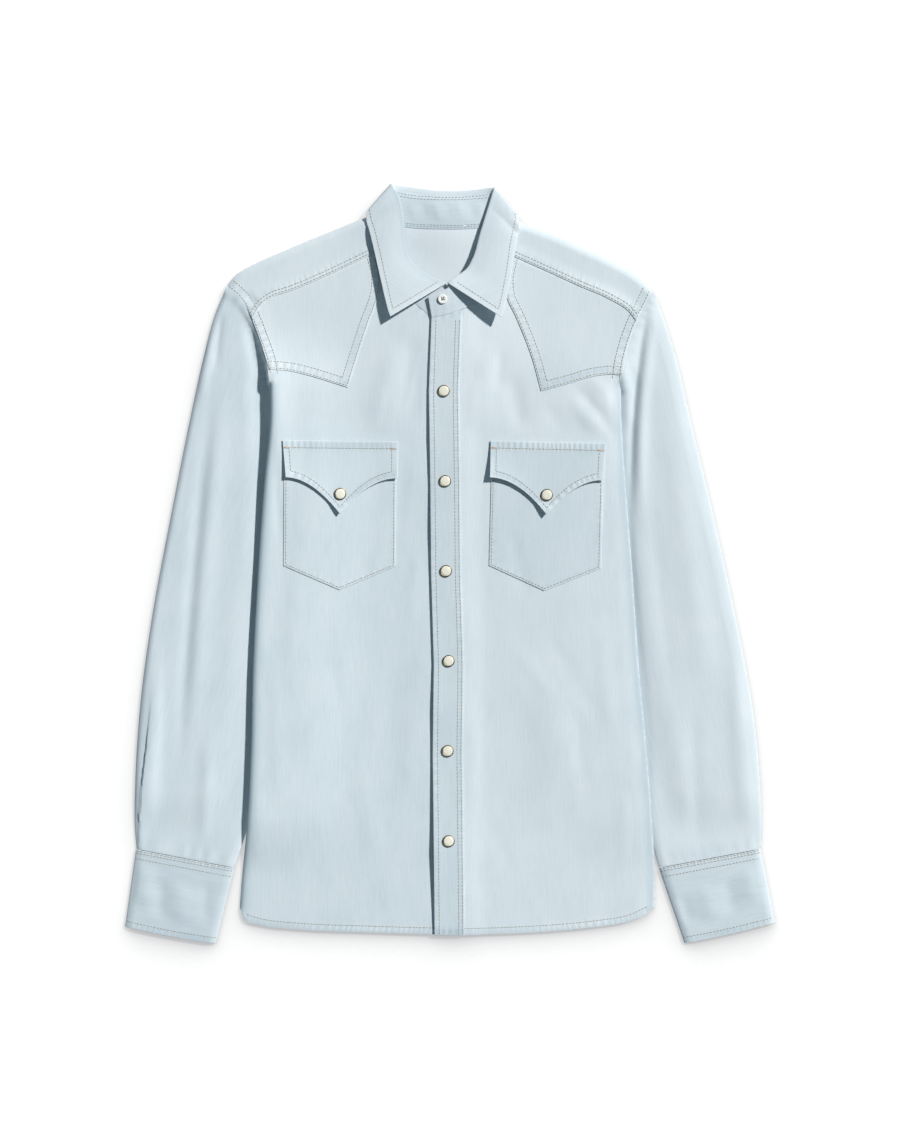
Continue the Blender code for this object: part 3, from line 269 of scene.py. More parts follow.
# Soft dents in the cuffs: x and y of both ends, width, height
CUFF_DENTS = {"right": ((-300, 74, -306, 26, 9, 1.3), (-284, 60, -289, 14, 8, -1.3),
                        (-262, 54, -270, 10, 10, 1.2), (-240, 60, -244, 8, 7, -0.9)),
              "left": ((300, 74, 308, 26, 9, 1.1), (280, 62, 288, 16, 8, -1.0),
                       (258, 54, 266, 12, 10, 1.2), (234, 44, 244, 8, 7, -0.8))}
CUFF_ACROSS = 100.0              # nominal width of a cuff
CUFF_SWELL, CUFF_DROOP = 0.5, 1.2   # its upper layer is crowned, and its free edge bowed, by this much
CUFF_SHUT = (2.0, 6.0)           # ramp of its puckers and dents, from its folds inwards

# ---------------------------------------------------------------- how worn the cloth is, with painted light and shade on the same scale: -1 indigo, 1 rubbed
SHOULDER_FADE, FADE_RAMP = 0.3, (430, 170)   # the chest and shoulders are paler by this much
# each piece's tone, partly its own dye and partly painted light and shade: the right cuff is darkened for
# the shade of its dents, the left front and left sleeve are lifted against the shade of their slopes
PIECE_TONE_LIGHT_AND_SHADE = {"sleeve_left": 0.3, "front_left": 0.25, "cuff_right": -0.3, "cuff_left": -0.1, "placket": -0.2,
        "pocket_flap_right": -0.08, "pocket_flap_left": -0.08, "collar_fall": 0.2}
YOKE_INSIDE_PAINTED_LIGHT = 0.55               # painted light: the yoke inside the neck is made paler by this much against the shade it takes there
PAINTED_SIDE_SHADE = {"right": 1.2, "left": 0.8}   # painted shade beside the body's side folds, by this much
PAINTED_SLEEVE_SHADE, SHADE_REACH = 0.9, 6.0       # and painted shade on the sleeve under the left one, over this distance
# painted shade along the collar's roll on its right, darkening its lit side, up to this y: the share of each
# of its lines of points
ROLL_PAINTED_SHADE, ROLL_RIGHT, ROLL_TOP = 1.2, 5.0, 744.0
ROLL_SHARES = (1, 1, 1, 1, 1, 1, 1, 0.8, 0.5, 0.3, 0.1)
EDGE_WEAR, WEAR_REACH = 0.9, 1.6           # a folded edge is rubbed pale over this distance
FOLD_WEAR, FOLD_WEAR_REACH = 0.1, 2.2      # and a sleeve's fold a little
RIDGE_WEAR, TROUGH_WEAR = 1.3, 0.55        # puckers are rubbed on top and dark between
FULL_WEAR = 0.35                 # from this height up

# ---------------------------------------------------------------- puckers beside the seams
# Distance of their middle from the seam, spread, pitch, height and seed
PUCKERS = {"yoke edge": (5.0, 3.2, 6.5, 0.34, 1.0), "yoke rise": (5.0, 3.2, 7.5, 0.28, 2.0),
           "shoulder": (4.0, 4.0, 7.0, 0.42, 3.0), "armhole": (-4.5, 3.6, 8.5, 0.26, 4.0),
           "pocket": (3.0, 2.6, 8.0, 0.14, 5.0), "hem": (3.6, 2.8, 6.0, 0.34, 6.0),
           "neck": (0.0, 6.0, 9.0, 0.22, 7.0)}
PLACKET_PUCKERS = ((-1, 2.6, 2.2, 9.5, 0.15, 9.0), (1, 2.6, 2.2, 9.5, 0.15, 10.0))   # edge, then as above
FLAP_PUCKERS = {"seam": (4.0, 4.2, 5.2, 0.5, 21.0), "edge": (4.0, 3.0, 6.5, 0.32, 24.0)}
SLEEVE_PUCKERS = {"armhole": (5.0, 5.0, 9.0, 0.2, 31.0), "cuff": (7.0, 7.0, 15.0, 0.18, 34.0)}
CUFF_PUCKERS = {"seam": (0.0, 3.0, 5.5, 0.3, 41.0), "edge": (3.5, 3.0, 6.0, 0.26, 43.0)}
# Their spacing and height wander along the seam: share, 1 / wave number, and how the seed shifts it
PUCKER_DRIFT = ((0.42, 23.0, 1.0), (0.27, 9.7, 2.3))
PUCKER_SWELL = (0.38, 31.0, 1.7)

# ---------------------------------------------------------------- lines of stitching: distance from the edge
SHOULDER_LINES, ARMHOLE_LINES, YOKE_LINES = (1.6, 4.8), (1.5, 8.5), (1.6, 8.2)
HEM_LINE, POCKET_LINE, FLAP_LINE, FALL_LINE = 6.5, 2.2, 6.0, 5.6
PLACKET_LINES = (-10.0, 9.5, 13.4)   # from the placket's middle
CUFF_LINES, CUFF_EDGE_LINE = (0.9, 3.2, 8.8), 6.0   # below the cuff's seam, and above its free edge
STAND_LINES = (2.2, 4.0, 29.5, 32.5)   # above the stand's seam

# ---------------------------------------------------------------- stage, in metres
FLOOR_AT = (0.0, 0.0, -0.0003)
LAMP_AT, LAMP_COLOUR, SKY_COLOUR = (1.5, 1.2, 2.0), (1.0, 0.985, 0.96), (0.72, 0.98, 1.13, 1.0)
CAMERA_AT = (-0.0015, 0.0025)


def ease(t):
    """0 to 1 with a level start and end."""
    t = np.clip(t, 0.0, 1.0)
    return t * t * (3.0 - 2.0 * t)


def ramp(value, start, reach):
    """0 up to start, rising to 1 over reach."""
    return ease((value - start) / reach)


def bell(away, width):
    """A round hump of this width, 1 where away is 0."""
    return np.exp(-(away / width) ** 2)


def spot(plan, x, y, wide, high):
    """A round swelling in plan."""
    return np.exp(-((plan[..., 0] - x) / wide) ** 2 - ((plan[..., 1] - y) / high) ** 2)


def chord_marks(points):
    """Place of each point along its polyline, 0 to 1."""
    steps = np.linalg.norm(np.diff(points, axis=0), axis=1)
    marks = np.concatenate(([0.0], np.cumsum(steps)))
    return marks / marks[-1]


def curve(points, places, marks=None):
    """Smooth curve through the points, read at places from 0 to 1."""
    points = np.asarray(points, float)
    marks = chord_marks(points) if marks is None else marks
    tangents = np.gradient(points, marks, axis=0)
    places = np.clip(np.asarray(places, float), 0.0, 1.0)
    i = np.clip(np.searchsorted(marks, places, side="right") - 1, 0, len(points) - 2)
    span = (marks[i + 1] - marks[i])[:, None]
    t = (places - marks[i])[:, None] / span
    return ((2 * t ** 3 - 3 * t ** 2 + 1) * points[i] + (t ** 3 - 2 * t ** 2 + t) * span * tangents[i]
            + (3 * t ** 2 - 2 * t ** 3) * points[i + 1] + (t ** 3 - t ** 2) * span * tangents[i + 1])


def joined(pieces, shares, places):
    """Curves end to end with a corner between them; each takes its share of the places."""
    starts = np.concatenate(([0.0], np.cumsum(shares)))
    which = np.clip(np.searchsorted(starts, places, side="left") - 1, 0, len(pieces) - 1)
    result = np.zeros((len(places), 2))
    for k, piece in enumerate(pieces):
        here = which == k
        result[here] = curve(piece, (places[here] - starts[k]) / shares[k])
    return result


def patch(across, up, bottom, top, first, last):
    """Plan points inside four edges: bottom and top run across, first and last run up."""
    u, v = across[None, :, None], up[:, None, None]
    corners = ((1 - u) * (1 - v) * first[0] + u * (1 - v) * last[0]
               + (1 - u) * v * first[-1] + u * v * last[-1])
    return (1 - v) * bottom[None] + v * top[None] + (1 - u) * first[:, None] + u * last[:, None] - corners


def distance(plan, line):
    """Distance in plan from each point to a polyline."""
    start, along = line[:-1], np.diff(line, axis=0)
    away = plan[..., None, :2] - start
    t = np.clip((away * along).sum(-1) / (along * along).sum(-1), 0.0, 1.0)
    return np.linalg.norm(away - t[..., None] * along, axis=-1).min(-1)


def along(plan, line):
    """Distance from each point to a polyline, and how far along the line its nearest point is."""
    start, run = line[:-1], np.diff(line, axis=0)
    lengths = np.linalg.norm(run, axis=1)
    before = np.concatenate(([0.0], np.cumsum(lengths)))[:-1]
    away = plan[:, None, :2] - start
    t = np.clip((away * run).sum(-1) / (lengths ** 2), 0.0, 1.0)
    gaps = np.linalg.norm(away - t[..., None] * run, axis=-1)
    nearest = gaps.argmin(1)
    rows = np.arange(len(plan))
    return gaps[rows, nearest], before[nearest] + t[rows, nearest] * lengths[nearest]


def fold_relief(plan, folds):
    """Height that pressed creases add: round ridges and troughs along curves that fade at their ends.

    Each is x and y of its points, then its width and its height.
    """
    flat = plan[..., :2].reshape(-1, 2)
    total = np.zeros(len(flat))
    for *line, width, height in folds:
        line = smooth(np.array(line, float).reshape(-1, 2), CREASE_POINTS)
        length = np.linalg.norm(np.diff(line, axis=0), axis=1).sum()
        away, s = along(flat, line)
        ends = ease(np.minimum(s, length - s) / (FOLD_FADE * length))
        total += height * ends * bell(away, width)
    return total.reshape(plan.shape[:-1])


# ---------------------------------------------------------------- the lie of the body and the sleeves

SIDE_LINE = {"right": np.array([(row[1], row[0]) for row in SIDE_FOLD], float),
             "left": np.array([(row[2], row[0]) for row in SIDE_FOLD], float)}
FINE = np.linspace(0.0, 1.0, 160)
SIDE_CURVE = {side: curve(line, FINE) for side, line in SIDE_LINE.items()}
SHOULDER_CURVE = {side: curve(line, FINE) for side, line in SHOULDER_FOLD.items()}
ARMHOLE_CURVE = {side: curve(line, FINE) for side, line in ARMHOLE.items()}
COLLAR_PLAN = {part: np.array([row[1:3] for row in rows], float) for part, rows in COLLAR.items()}
COLLAR_ROLL = {part: np.array([row[3:6] for row in rows], float) for part, rows in COLLAR.items()}
COLLAR_EDGE = {part: np.array([row[6:9] for row in rows], float) for part, rows in COLLAR.items()}
COLLAR_MARKS = {part: chord_marks(np.hstack((COLLAR_PLAN[part], COLLAR_ROLL[part]))) for part in COLLAR}
UNDERARM_Y = SIDE_FOLD[-1][0]


def neck_line(part, first, last, places):
    """Plan of the neck seam from one section of a part of the collar to another."""
    marks = COLLAR_MARKS[part]
    return curve(COLLAR_PLAN[part], marks[first] + (marks[last] - marks[first]) * np.asarray(places), marks)


def closing(away, reach=FOLD_REACH):
    """How far two layers stand apart at this distance from the fold that joins them, 0 to 1."""
    share = np.clip((away - FOLD_LINE) / reach, 0.0, 1.0)
    return np.sqrt(1.0 - (1.0 - share) ** 2)


def pressed(away, reach=FOLD_REACH):
    """As closing, for a fold pressed to a flat wedge instead of a round one."""
    share = np.clip((away - FOLD_LINE) / reach, 0.0, 1.0)
    wedge = 1.0 - (1.0 - share) ** PRESSED_POWER
    return PRESSED_ROUND * closing(away, reach) + (1.0 - PRESSED_ROUND) * wedge


def body_lie(plan):
    """Middle height between the body's two layers, half the distance between them, and how open they are."""
    x, y = plan[..., 0], plan[..., 1]
    loft = HEM_LOFT + CHEST_LOFT * ramp(y, *CHEST_RAMP) + NECK_LOFT * spot(plan, *NECK_SPOT)
    to_side = {side: distance(plan, line) for side, line in SIDE_CURVE.items()}
    inside = np.minimum(to_side["right"], to_side["left"]) - np.interp(y, *zip(*SLEEVE_TUCK))
    high, slope = (np.where(x < 0, table["right"], table["left"]) for table in (SLEEVE_BED, BED_SLOPE))
    bed = high * (1 - ramp(inside, BED_START, slope)) * ramp(y, *BED_HEM_RAMP) * (1 - ramp(y, *BED_TOP_RAMP))
    neck = NECK_LIFT * bell(distance(plan, COLLAR_PLAN["back"]), NECK_REACH)
    to_right = np.minimum(to_side["right"], distance(plan, ARMHOLE_CURVE["right"]))
    edge = np.interp(y, *zip(*EDGE_LIFT)) * bell(to_right, EDGE_REACH)
    middle = CLOTH / 2 + loft / 2 + bed + neck + edge
    wedges = [pressed(to_side[side], SIDE_REACH[side]) for side in SIDES]
    wedges += [pressed(distance(plan, line)) for line in SHOULDER_CURVE.values()]
    open_share = np.minimum.reduce(wedges)
    return middle, loft / 2 * open_share, open_share


def lower_layer(plan):
    """The back, and the underside of the yoke."""
    middle, half, open_share = body_lie(plan)
    return middle - half + NECK_PUFF * spot(plan, *NECK_OPENING) * open_share


def upper_layer(plan):
    """The wearer's right front, and everything sewn to it."""
    middle, half, open_share = body_lie(plan)
    return middle + half + top_relief(plan) * open_share


def placket_middle(y):
    """x of the placket's middle line."""
    return np.interp(y, *zip(*PLACKET))


def overlap_layer(plan):
    """The wearer's left front, which laps over the right one at the centre."""
    x, y = plan[..., 0], plan[..., 1]
    off = x - placket_middle(y)
    lap = LAYER * (1 - ease((off - PLACKET_WIDTH / 2 - PLACKET_CLEAR) / PLACKET_EASE))
    lift = np.interp(y, *zip(*PLACKET_LIFT)) * np.clip((PLACKET_WIDTH - off) / (1.5 * PLACKET_WIDTH), 0, 1)
    return upper_layer(plan) + lap + lift


def placket_layer(plan):
    """The placket, on the overlapping front."""
    return overlap_layer(plan) + PLACKET_STEP


FRONT_LAYER = {"right": upper_layer, "left": overlap_layer}


def overlay(side):
    """The layer of what is sewn flat on a front."""
    return lambda plan: FRONT_LAYER[side](plan) + OVERLAY


def vent_relief(plan):
    """The lap over the vent: it ends in an edge that stands up from the cloth beside it."""
    heights, places, rises = np.array(VENT[::-1]).T
    off = plan[..., 0] - np.interp(plan[..., 1], heights, places)
    rise = np.interp(plan[..., 1], heights, rises, left=0.0, right=0.0)
    return rise * ease(off / VENT_EDGE + 0.5) * bell(np.maximum(off, 0.0), VENT_LAP)


def sleeve_layers(plan, side):
    """Lower and upper height of a sleeve's two layers."""
    to_inner = distance(plan, curve(SLEEVE_INNER[side], FINE))
    to_outer = distance(plan, curve(SLEEVE_OUTER[side], FINE))
    share = to_inner / (to_inner + to_outer + TINY)
    y = plan[..., 1]
    loft = SLEEVE_LOFT[side] + SLEEVE_PUFF * ramp(share, *PUFF_ACROSS) * ramp(y, *PUFF_UP)
    loft += (CUFF_LOFT - loft) * (1 - ramp(y, *CUFF_RAMP)) * CUFF_SHARE
    low_drop, high_drop = HEAD_DROP[side]
    drop = low_drop + (high_drop - low_drop) * ramp(y, *HEAD_RAMP)
    drop *= 1 - HEAD_TIGHT[side] * (1 - ramp(y - UNDERARM_Y, *TIGHT_RAMP))
    head = 1 - ramp(distance(plan, ARMHOLE_CURVE[side]), HEAD_FLAT, drop)
    body_middle, body_half, _ = body_lie(plan)
    open_share = np.minimum(pressed(to_inner), pressed(to_outer, OUTER_REACH[side]))
    middle = (CLOTH / 2 + loft / 2) * (1 - head) + body_middle * head
    under = np.minimum(body_half, TUCK_DEPTH) * ease(1 - to_inner / TUCKED)
    half = loft / 2 * (1 - head) * open_share + (body_half - under) * head
    folds = fold_relief(plan, SLEEVE_FOLDS[side]) * open_share * (1 - head) * ramp(share, *FOLDS_ACROSS)
    creases = fold_relief(plan, SLEEVE_CREASES[side]) * open_share * ease(to_inner / CREASE_CLEAR)
    creases = np.maximum(creases, np.minimum(LEAST_LOFT - 2 * half, 0.0))
    if side == "right":
        creases += vent_relief(plan)
    return middle - half, middle + half + folds + creases


# ---------------------------------------------------------------- creases, seams and their puckers

# Creases pressed or crumpled into the fronts: x and y of both ends, width, height (a ridge) or depth
CREASES = ((-150, 380, -158, 250, 9, 0.5), (-172, 300, -170, 120, 8, 0.7), (-120, 340, -128, 200, 12, -0.4),
           (-40, 470, -52, 400, 7, -0.5), (-28, 590, -42, 520, 5, 0.6), (-52, 560, -66, 505, 6, -0.5),
           (28, 560, 24, 500, 6, 0.45), (55, 590, 50, 540, 6, -0.6), (120, 540, 150, 505, 7, 0.6),
           (96, 535, 120, 500, 8, -0.5), (60, 300, 120, 220, 10, 0.5), (90, 320, 160, 200, 9, -0.45),
           (-30, 250, -44, 130, 9, 0.35), (-90, 180, -70, 60, 10, 0.4), (40, 120, 70, 50, 9, -0.4),
           (150, 330, 168, 180, 9, 0.6), (-135, 500, -150, 450, 7, -0.5), (30, 230, 24, 120, 8, 0.4),
           (180, 150, 176, 60, 8, 0.6), (-190, 160, -186, 60, 8, 0.5), (-204, 646, -187, 626, 3.5, -1.1),
           (-173, 500, -170, 440, -166, 380, 4.5, -0.8), (120, 556, 150, 526, 172, 490, 6, -1.0),
           (134, 566, 160, 540, 182, 505, 6, 0.7), (-120, 300, -100, 180, 8, -0.5),
           (-60, 420, -76, 340, 7, 0.45), (60, 420, 82, 330, 8, -0.45), (126, 250, 140, 120, 8, -0.5),
           (-30, 400, -36, 300, 6, 0.4))


def spread(count, start=0.0, end=1.0):
    """Even shares of a way."""
    return np.linspace(start, end, count)


def moved(line, amount):
    """A polyline moved to its left by an amount in millimetres."""
    line = np.asarray(line, float)[:, :2]
    run = np.gradient(line, axis=0)
    run /= np.linalg.norm(run, axis=1)[:, None]
    return line + np.stack((-run[:, 1], run[:, 0]), axis=1) * amount


def smooth(points, count=60):
    """Points along the smooth curve through these."""
    return curve(np.asarray(points, float)[:, :2], spread(count))


def pocket_plan(side, x, y):
    """Pocket draft points, x from its middle and y up from its top, as plan points."""
    x0, y0, cos, sin = pocket_axes(side)
    x, y = np.asarray(x, float), np.asarray(y, float)
    return np.stack((x0 + x * cos - y * sin, y0 + x * sin + y * cos), axis=-1)


def pocket_axes(side):
    """The middle of a pocket's top, and the cosine and sine of its tilt."""
    x0, y0, tilt = POCKET_PLACE[side]
    return x0, y0, math.cos(math.radians(tilt)), math.sin(math.radians(tilt))


def pocket_outline(side, inside=0.0):
    """The line this far inside the pocket's edge, down one side, to its point and up the other."""
    half, deep = POCKET["width"] / 2 - inside, POCKET["side"] - inside * 0.6
    point = POCKET["side"] + POCKET["point"] - inside * 1.15
    top = POCKET_LINE_TOP
    return pocket_plan(side, (-half, -half, 0, half, half), (-top, -deep, -point, -deep, -top))


def body_seams():
    """Seams that pucker the body's top layer: line, spread, pitch and height of the puckers, and a seed."""
    seams = []
    for k, (side, sign) in enumerate(SIDES.items()):
        edges = {"yoke edge": YOKE_EDGE, "yoke rise": YOKE_RISE, "shoulder": SHOULDER_SEAM,
                 "armhole": ARMHOLE}
        for name, (inside, *pucker, seed) in PUCKERS.items():
            if name in edges:
                line = moved(smooth(edges[name][side]), -sign * inside)
            elif name == "pocket":
                line = pocket_outline(side, inside)
            elif name == "hem":
                line = smooth(HEM[side][1:]) + (0.0, inside)
            else:
                line = neck_line(side, *FRONT_NECK[side], spread(50))
            seams.append((line, *pucker, seed + k))
    for edge, inside, *pucker in PLACKET_PUCKERS:
        heights = np.linspace(4.0, 612.0, 80)
        line = np.stack((placket_middle(heights) + edge * (PLACKET_WIDTH / 2 - inside), heights), axis=-1)
        seams.append((line, *pucker))
    return seams


def pucker_wave(s, pitch, seed):
    """Uneven round ridges across a seam, 0 to 1, at a distance s along it."""
    phase = s / pitch
    for share, wave, shift in PUCKER_DRIFT:
        phase = phase + share * np.sin(s / wave + shift * seed)
    share, wave, shift = PUCKER_SWELL
    strength = 1 - share + share * np.sin(s / wave + shift * seed)
    return (0.5 + 0.5 * np.cos(2 * math.pi * phase)) * strength


def seam_effect(plan, seams):
    """Height of the puckers beside the seams, and how worn (+) or dark (-) the cloth is there."""
    flat = plan.reshape(-1, plan.shape[-1])
    height, wear_light_and_shade = np.zeros(len(flat)), np.zeros(len(flat))
    for line, width, pitch, tall, seed in seams:
        low, high = line.min(0) - 4 * width, line.max(0) + 4 * width
        near = ((flat[:, :2] > low) & (flat[:, :2] < high)).all(1)
        if not near.any():
            continue
        away, s = along(flat[near], line)
        band, wave = bell(away, width), pucker_wave(s, pitch, seed)
        height[near] += tall * wave * band
        wear_light_and_shade[near] += (RIDGE_WEAR * wave - TROUGH_WEAR) * band * min(1.0, tall / FULL_WEAR)
    return height.reshape(plan.shape[:-1]), wear_light_and_shade.reshape(plan.shape[:-1])


def top_relief(plan):
    """What creases and puckers add to the body's top layer."""
    return fold_relief(plan, FRONT_FOLDS + CREASES) + seam_effect(plan, SEAMS)[0]


SEAMS = body_seams()


# ---------------------------------------------------------------- shells of cloth

def place(points):
    """Draft points in millimetres as points of the frame in metres."""
    points = np.asarray(points, float)
    return (points - np.array((ORIGIN[0], ORIGIN[1], 0.0))) * MM


def lift(plan, height):
    """Plan points with their height, as 3-D draft points."""
    return np.concatenate((plan[..., :2], np.broadcast_to(height, plan.shape[:-1])[..., None]), axis=-1)


def steps(length, pitch):
    return max(4, int(round(length / (pitch * COARSE))) + 1)


def fold_columns(width):
    """Shares of a width at which a layer turns into its fold."""
    return np.array(FOLD_COLUMNS) / width


def travelled(points, axis):
    """Distance along a grid's rows or columns, from their start."""
    run = np.cumsum(np.linalg.norm(np.diff(points, axis=axis), axis=2), axis=axis)
    return np.concatenate((np.zeros_like(run.take([0], axis)), run), axis=axis)


def border(points):
    """Distance from each point of a grid to the grid's own edge."""
    left, foot = travelled(points, 1), travelled(points, 0)
    return np.minimum(np.minimum(left, left[:, -1:] - left), np.minimum(foot, foot[-1:] - foot))


def edge_wear(points, reach=WEAR_REACH):
    """The pale rubbed line along a piece's folded edge."""
    return EDGE_WEAR * bell(border(points), reach)


def deselect():
    """Leaves nothing selected, in object mode."""
    if bpy.context.object and bpy.context.object.mode != "OBJECT":
        bpy.ops.object.mode_set(mode="OBJECT")
    bpy.ops.object.select_all(action="DESELECT")


def activate(*pieces):
    """Selects pieces and makes the first one active."""
    deselect()
    for piece in pieces:
        piece.select_set(True)
    bpy.context.view_layer.objects.active = pieces[0]


def apply_modifiers(piece):
    activate(piece)
    for modifier in list(piece.modifiers):
        bpy.ops.object.modifier_apply(modifier=modifier.name)


def grid_piece(points, wear_light_and_shade, grain):
    """A grid primitive laid over draft points, with its grain as a UV map, and its wear with the painted
    light and shade it carries as an attribute.
    """
    deselect()
    rows, columns = points.shape[:2]
    bpy.ops.mesh.primitive_grid_add(x_subdivisions=columns - 1, y_subdivisions=rows - 1, calc_uvs=False)
    piece = bpy.context.object
    mesh = piece.data
    if len(mesh.vertices) != rows * columns:
        raise RuntimeError(f"the grid has {len(mesh.vertices)} points, not {rows * columns}")
    mesh.vertices.foreach_set("co", place(points).ravel())
    corners = np.empty(len(mesh.loops), np.int32)
    mesh.loops.foreach_get("vertex_index", corners)
    mesh.uv_layers.new(name="grain").data.foreach_set("uv", (grain.reshape(-1, 2)[corners] * MM).ravel())
    worn = mesh.attributes.new("wear_light_and_shade", "FLOAT", "POINT")
    worn.data.foreach_set("value", np.ascontiguousarray(wear_light_and_shade.ravel()))
    return piece


def shell(name, grids, wall, material, turn=0.0, even=True):
    """One cut piece of cloth: its grids joined and welded, given the cloth's wall and a rounded rim.

    Each grid is draft points and their wear with its painted light and shade, with an optional grain; turn
    is the grain's angle in degrees.
    An uneven wall is thinner on sharp folds, which an even one would draw out to a spike.
    """
    parts = []
    cos, sin = math.cos(math.radians(turn)), math.sin(math.radians(turn))
    for points, wear_light_and_shade, *own in grids:
        grain = own[0] if own else points[..., :2] @ np.array(((cos, -sin), (sin, cos)))
        parts.append(grid_piece(points, wear_light_and_shade, grain))
    activate(*parts)
    if len(parts) > 1:
        bpy.ops.object.join()
    piece = bpy.context.object
    piece.name = piece.data.name = name
    bpy.ops.object.mode_set(mode="EDIT")
    bpy.ops.mesh.select_all(action="SELECT")
    bpy.ops.mesh.remove_doubles(threshold=WELD)
    bpy.ops.mesh.dissolve_degenerate(threshold=WELD)
    bpy.ops.mesh.normals_make_consistent(inside=False)
    bpy.ops.object.mode_set(mode="OBJECT")
    solid = piece.modifiers.new("wall", "SOLIDIFY")
    solid.thickness = wall * MM
    solid.offset = 0.0
    solid.use_even_offset = even
    rim = piece.modifiers.new("rim", "BEVEL")
    rim.width = wall * RIM_SHARE * MM
    rim.segments = 2
    rim.limit_method = "ANGLE"
    rim.angle_limit = math.radians(70)
    apply_modifiers(piece)
    bpy.ops.object.shade_smooth_by_angle(angle=math.radians(50))
    piece.data.materials.clear()
    piece.data.materials.append(material)
    return piece


def sew(name, *grids, wall=CLOTH, turn=0.0, even=True):
    """Makes a cut piece and sets it in place of its node, with its tone: partly its own dye, partly painted
    light and shade.
    """
    grids = [(points, wear_light_and_shade + PIECE_TONE_LIGHT_AND_SHADE.get(name, 0.0), *grain) for points, wear_light_and_shade, *grain in grids]
    piece = shell("denim_" + name, grids, wall, denim(), turn, even)
    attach(piece, "root")
    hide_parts(name)


THREADS = {}                     # stitching on each cut piece, by node


# ---------------------------------------------------------------- stitches

def surface_on(plan, height, wall=CLOTH):
    """Points on a cloth's outer face, with their normals, for plan points and its middle height."""
    dx, dy = ((height(plan + step) - height(plan - step)) / (2 * SLOPE_REACH)
              for step in ((SLOPE_REACH, 0.0), (0.0, SLOPE_REACH)))
    normal = np.stack((-dx, -dy, np.ones_like(dx)), axis=-1)
    normal /= np.linalg.norm(normal, axis=1)[:, None]
    return lift(plan, height(plan)) + normal * wall / 2, normal


def surface_in(points, u, v, wall, face=1.0):
    """Points on the outer face of a grid, with their normals, at u across and v up from 0 to 1."""
    rows, columns = points.shape[:2]
    u, v = np.clip(u, 0, 1) * (columns - 1), np.clip(v, 0, 1) * (rows - 1)
    i, j = np.minimum(u.astype(int), columns - 2), np.minimum(v.astype(int), rows - 2)
    s, t = (u - i)[:, None], (v - j)[:, None]
    a, b, c, d = points[j, i], points[j, i + 1], points[j + 1, i], points[j + 1, i + 1]
    normal = np.cross(b - a + d - c, c - a + d - b) * face
    normal /= np.linalg.norm(normal, axis=1)[:, None]
    return a * (1 - s) * (1 - t) + b * s * (1 - t) + c * (1 - s) * t + d * s * t + normal * wall / 2, normal


def facing(points, normals, outward, at):
    """Points on a two-ply wall, with normals, moved to the face that looks outward at one of them."""
    sign = np.sign((normals[at] * outward).sum())
    return points - normals * TWO_PLY / 2 * (1 - sign), normals * sign


def resampled(points, normals, pitch):
    """A run of surface points at an even pitch, with normals."""
    lengths = np.concatenate(([0.0], np.cumsum(np.linalg.norm(np.diff(points, axis=0), axis=1))))
    at = np.arange(0.0, lengths[-1], pitch)
    read = lambda table: np.stack([np.interp(at, lengths, table[:, k]) for k in range(3)], axis=1)
    return read(points), read(normals)


# A stitch: places along it, its width and how high its middle lies there, in radii of the thread
STITCH_PLACES = np.array((0.0, 0.14, 0.5, 0.86, 1.0))
STITCH_WIDTHS = np.array((0.3, 0.95, 1.0, 0.95, 0.3))
STITCH_RISE = np.array((-0.55, 0.35, 0.5, 0.35, -0.55))
RUN_STEP = 0.2                   # distance between the points that a stitch may end at
SLOPE_REACH = 0.8                # distance over which a surface's slope is measured


def stitching(name, runs, material, whole=False):
    """One mesh of all the stitches on a piece. Each is a short thread that dives into the cloth at its ends.

    With whole, each run is a single thread from end to end.
    """
    sizes = bpy.context.scene.shirt_sizes
    radius = sizes.thread / MM / 2
    length, gap = sizes.stitch / MM, sizes.stitch_gap / MM
    verts, faces, base = [], [], 0
    for points, normals in runs:
        line, up = resampled(points, normals, RUN_STEP)
        if whole:
            length = (len(line) - 1.01) * RUN_STEP
        for start in range(0, len(line) - int(length / RUN_STEP), int((length + gap) / RUN_STEP)):
            at = start + (STITCH_PLACES * length / RUN_STEP).astype(int)
            here, normal = line[at], up[at]
            tangent = line[at[-1]] - line[at[0]]
            size = np.linalg.norm(tangent)
            if size < length * 0.5:
                continue
            side = np.cross(tangent / size, normal)
            middle = here + normal * (STITCH_RISE * radius)[:, None]
            wide = (STITCH_WIDTHS * radius)[:, None]
            ring = np.stack((middle + side * wide, middle + normal * wide, middle - side * wide,
                             middle - normal * wide), axis=1)
            verts.append(ring.reshape(-1, 3))
            last = base + 4 * (len(at) - 1)
            for k in range(base, last, 4):
                faces += [(k + q, k + (q + 1) % 4, k + 4 + (q + 1) % 4, k + 4 + q) for q in range(4)]
            faces += [(base + 3, base + 2, base + 1, base), (last, last + 1, last + 2, last + 3)]
            base = last + 4
    mesh = bpy.data.meshes.new(name)
    mesh.from_pydata(place(np.concatenate(verts)).tolist(), [], faces)
    piece = bpy.data.objects.new(name, mesh)
    bpy.context.scene.collection.objects.link(piece)
    activate(piece)
    bpy.ops.object.mode_set(mode="EDIT")
    bpy.ops.mesh.select_all(action="SELECT")
    bpy.ops.mesh.normals_make_consistent(inside=False)
    bpy.ops.object.mode_set(mode="OBJECT")
    bpy.ops.object.shade_smooth()
    mesh.materials.append(material)
    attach(piece, "root")
    return piece


# ---------------------------------------------------------------- finishes

MIX_A, MIX_B, MIX_OUT = 6, 7, 2  # colour sockets of a Mix node
WAVE_SCALE = 2 * math.pi / 20    # scale of a wave texture whose bands are 1 m apart


def linear(code):
    """An sRGB hex colour as linear red, green and blue."""
    parts = [int(code[k:k + 2], 16) / 255 for k in (1, 3, 5)]
    return tuple(c / 12.92 if c <= 0.04045 else ((c + 0.055) / 1.055) ** 2.4 for c in parts)


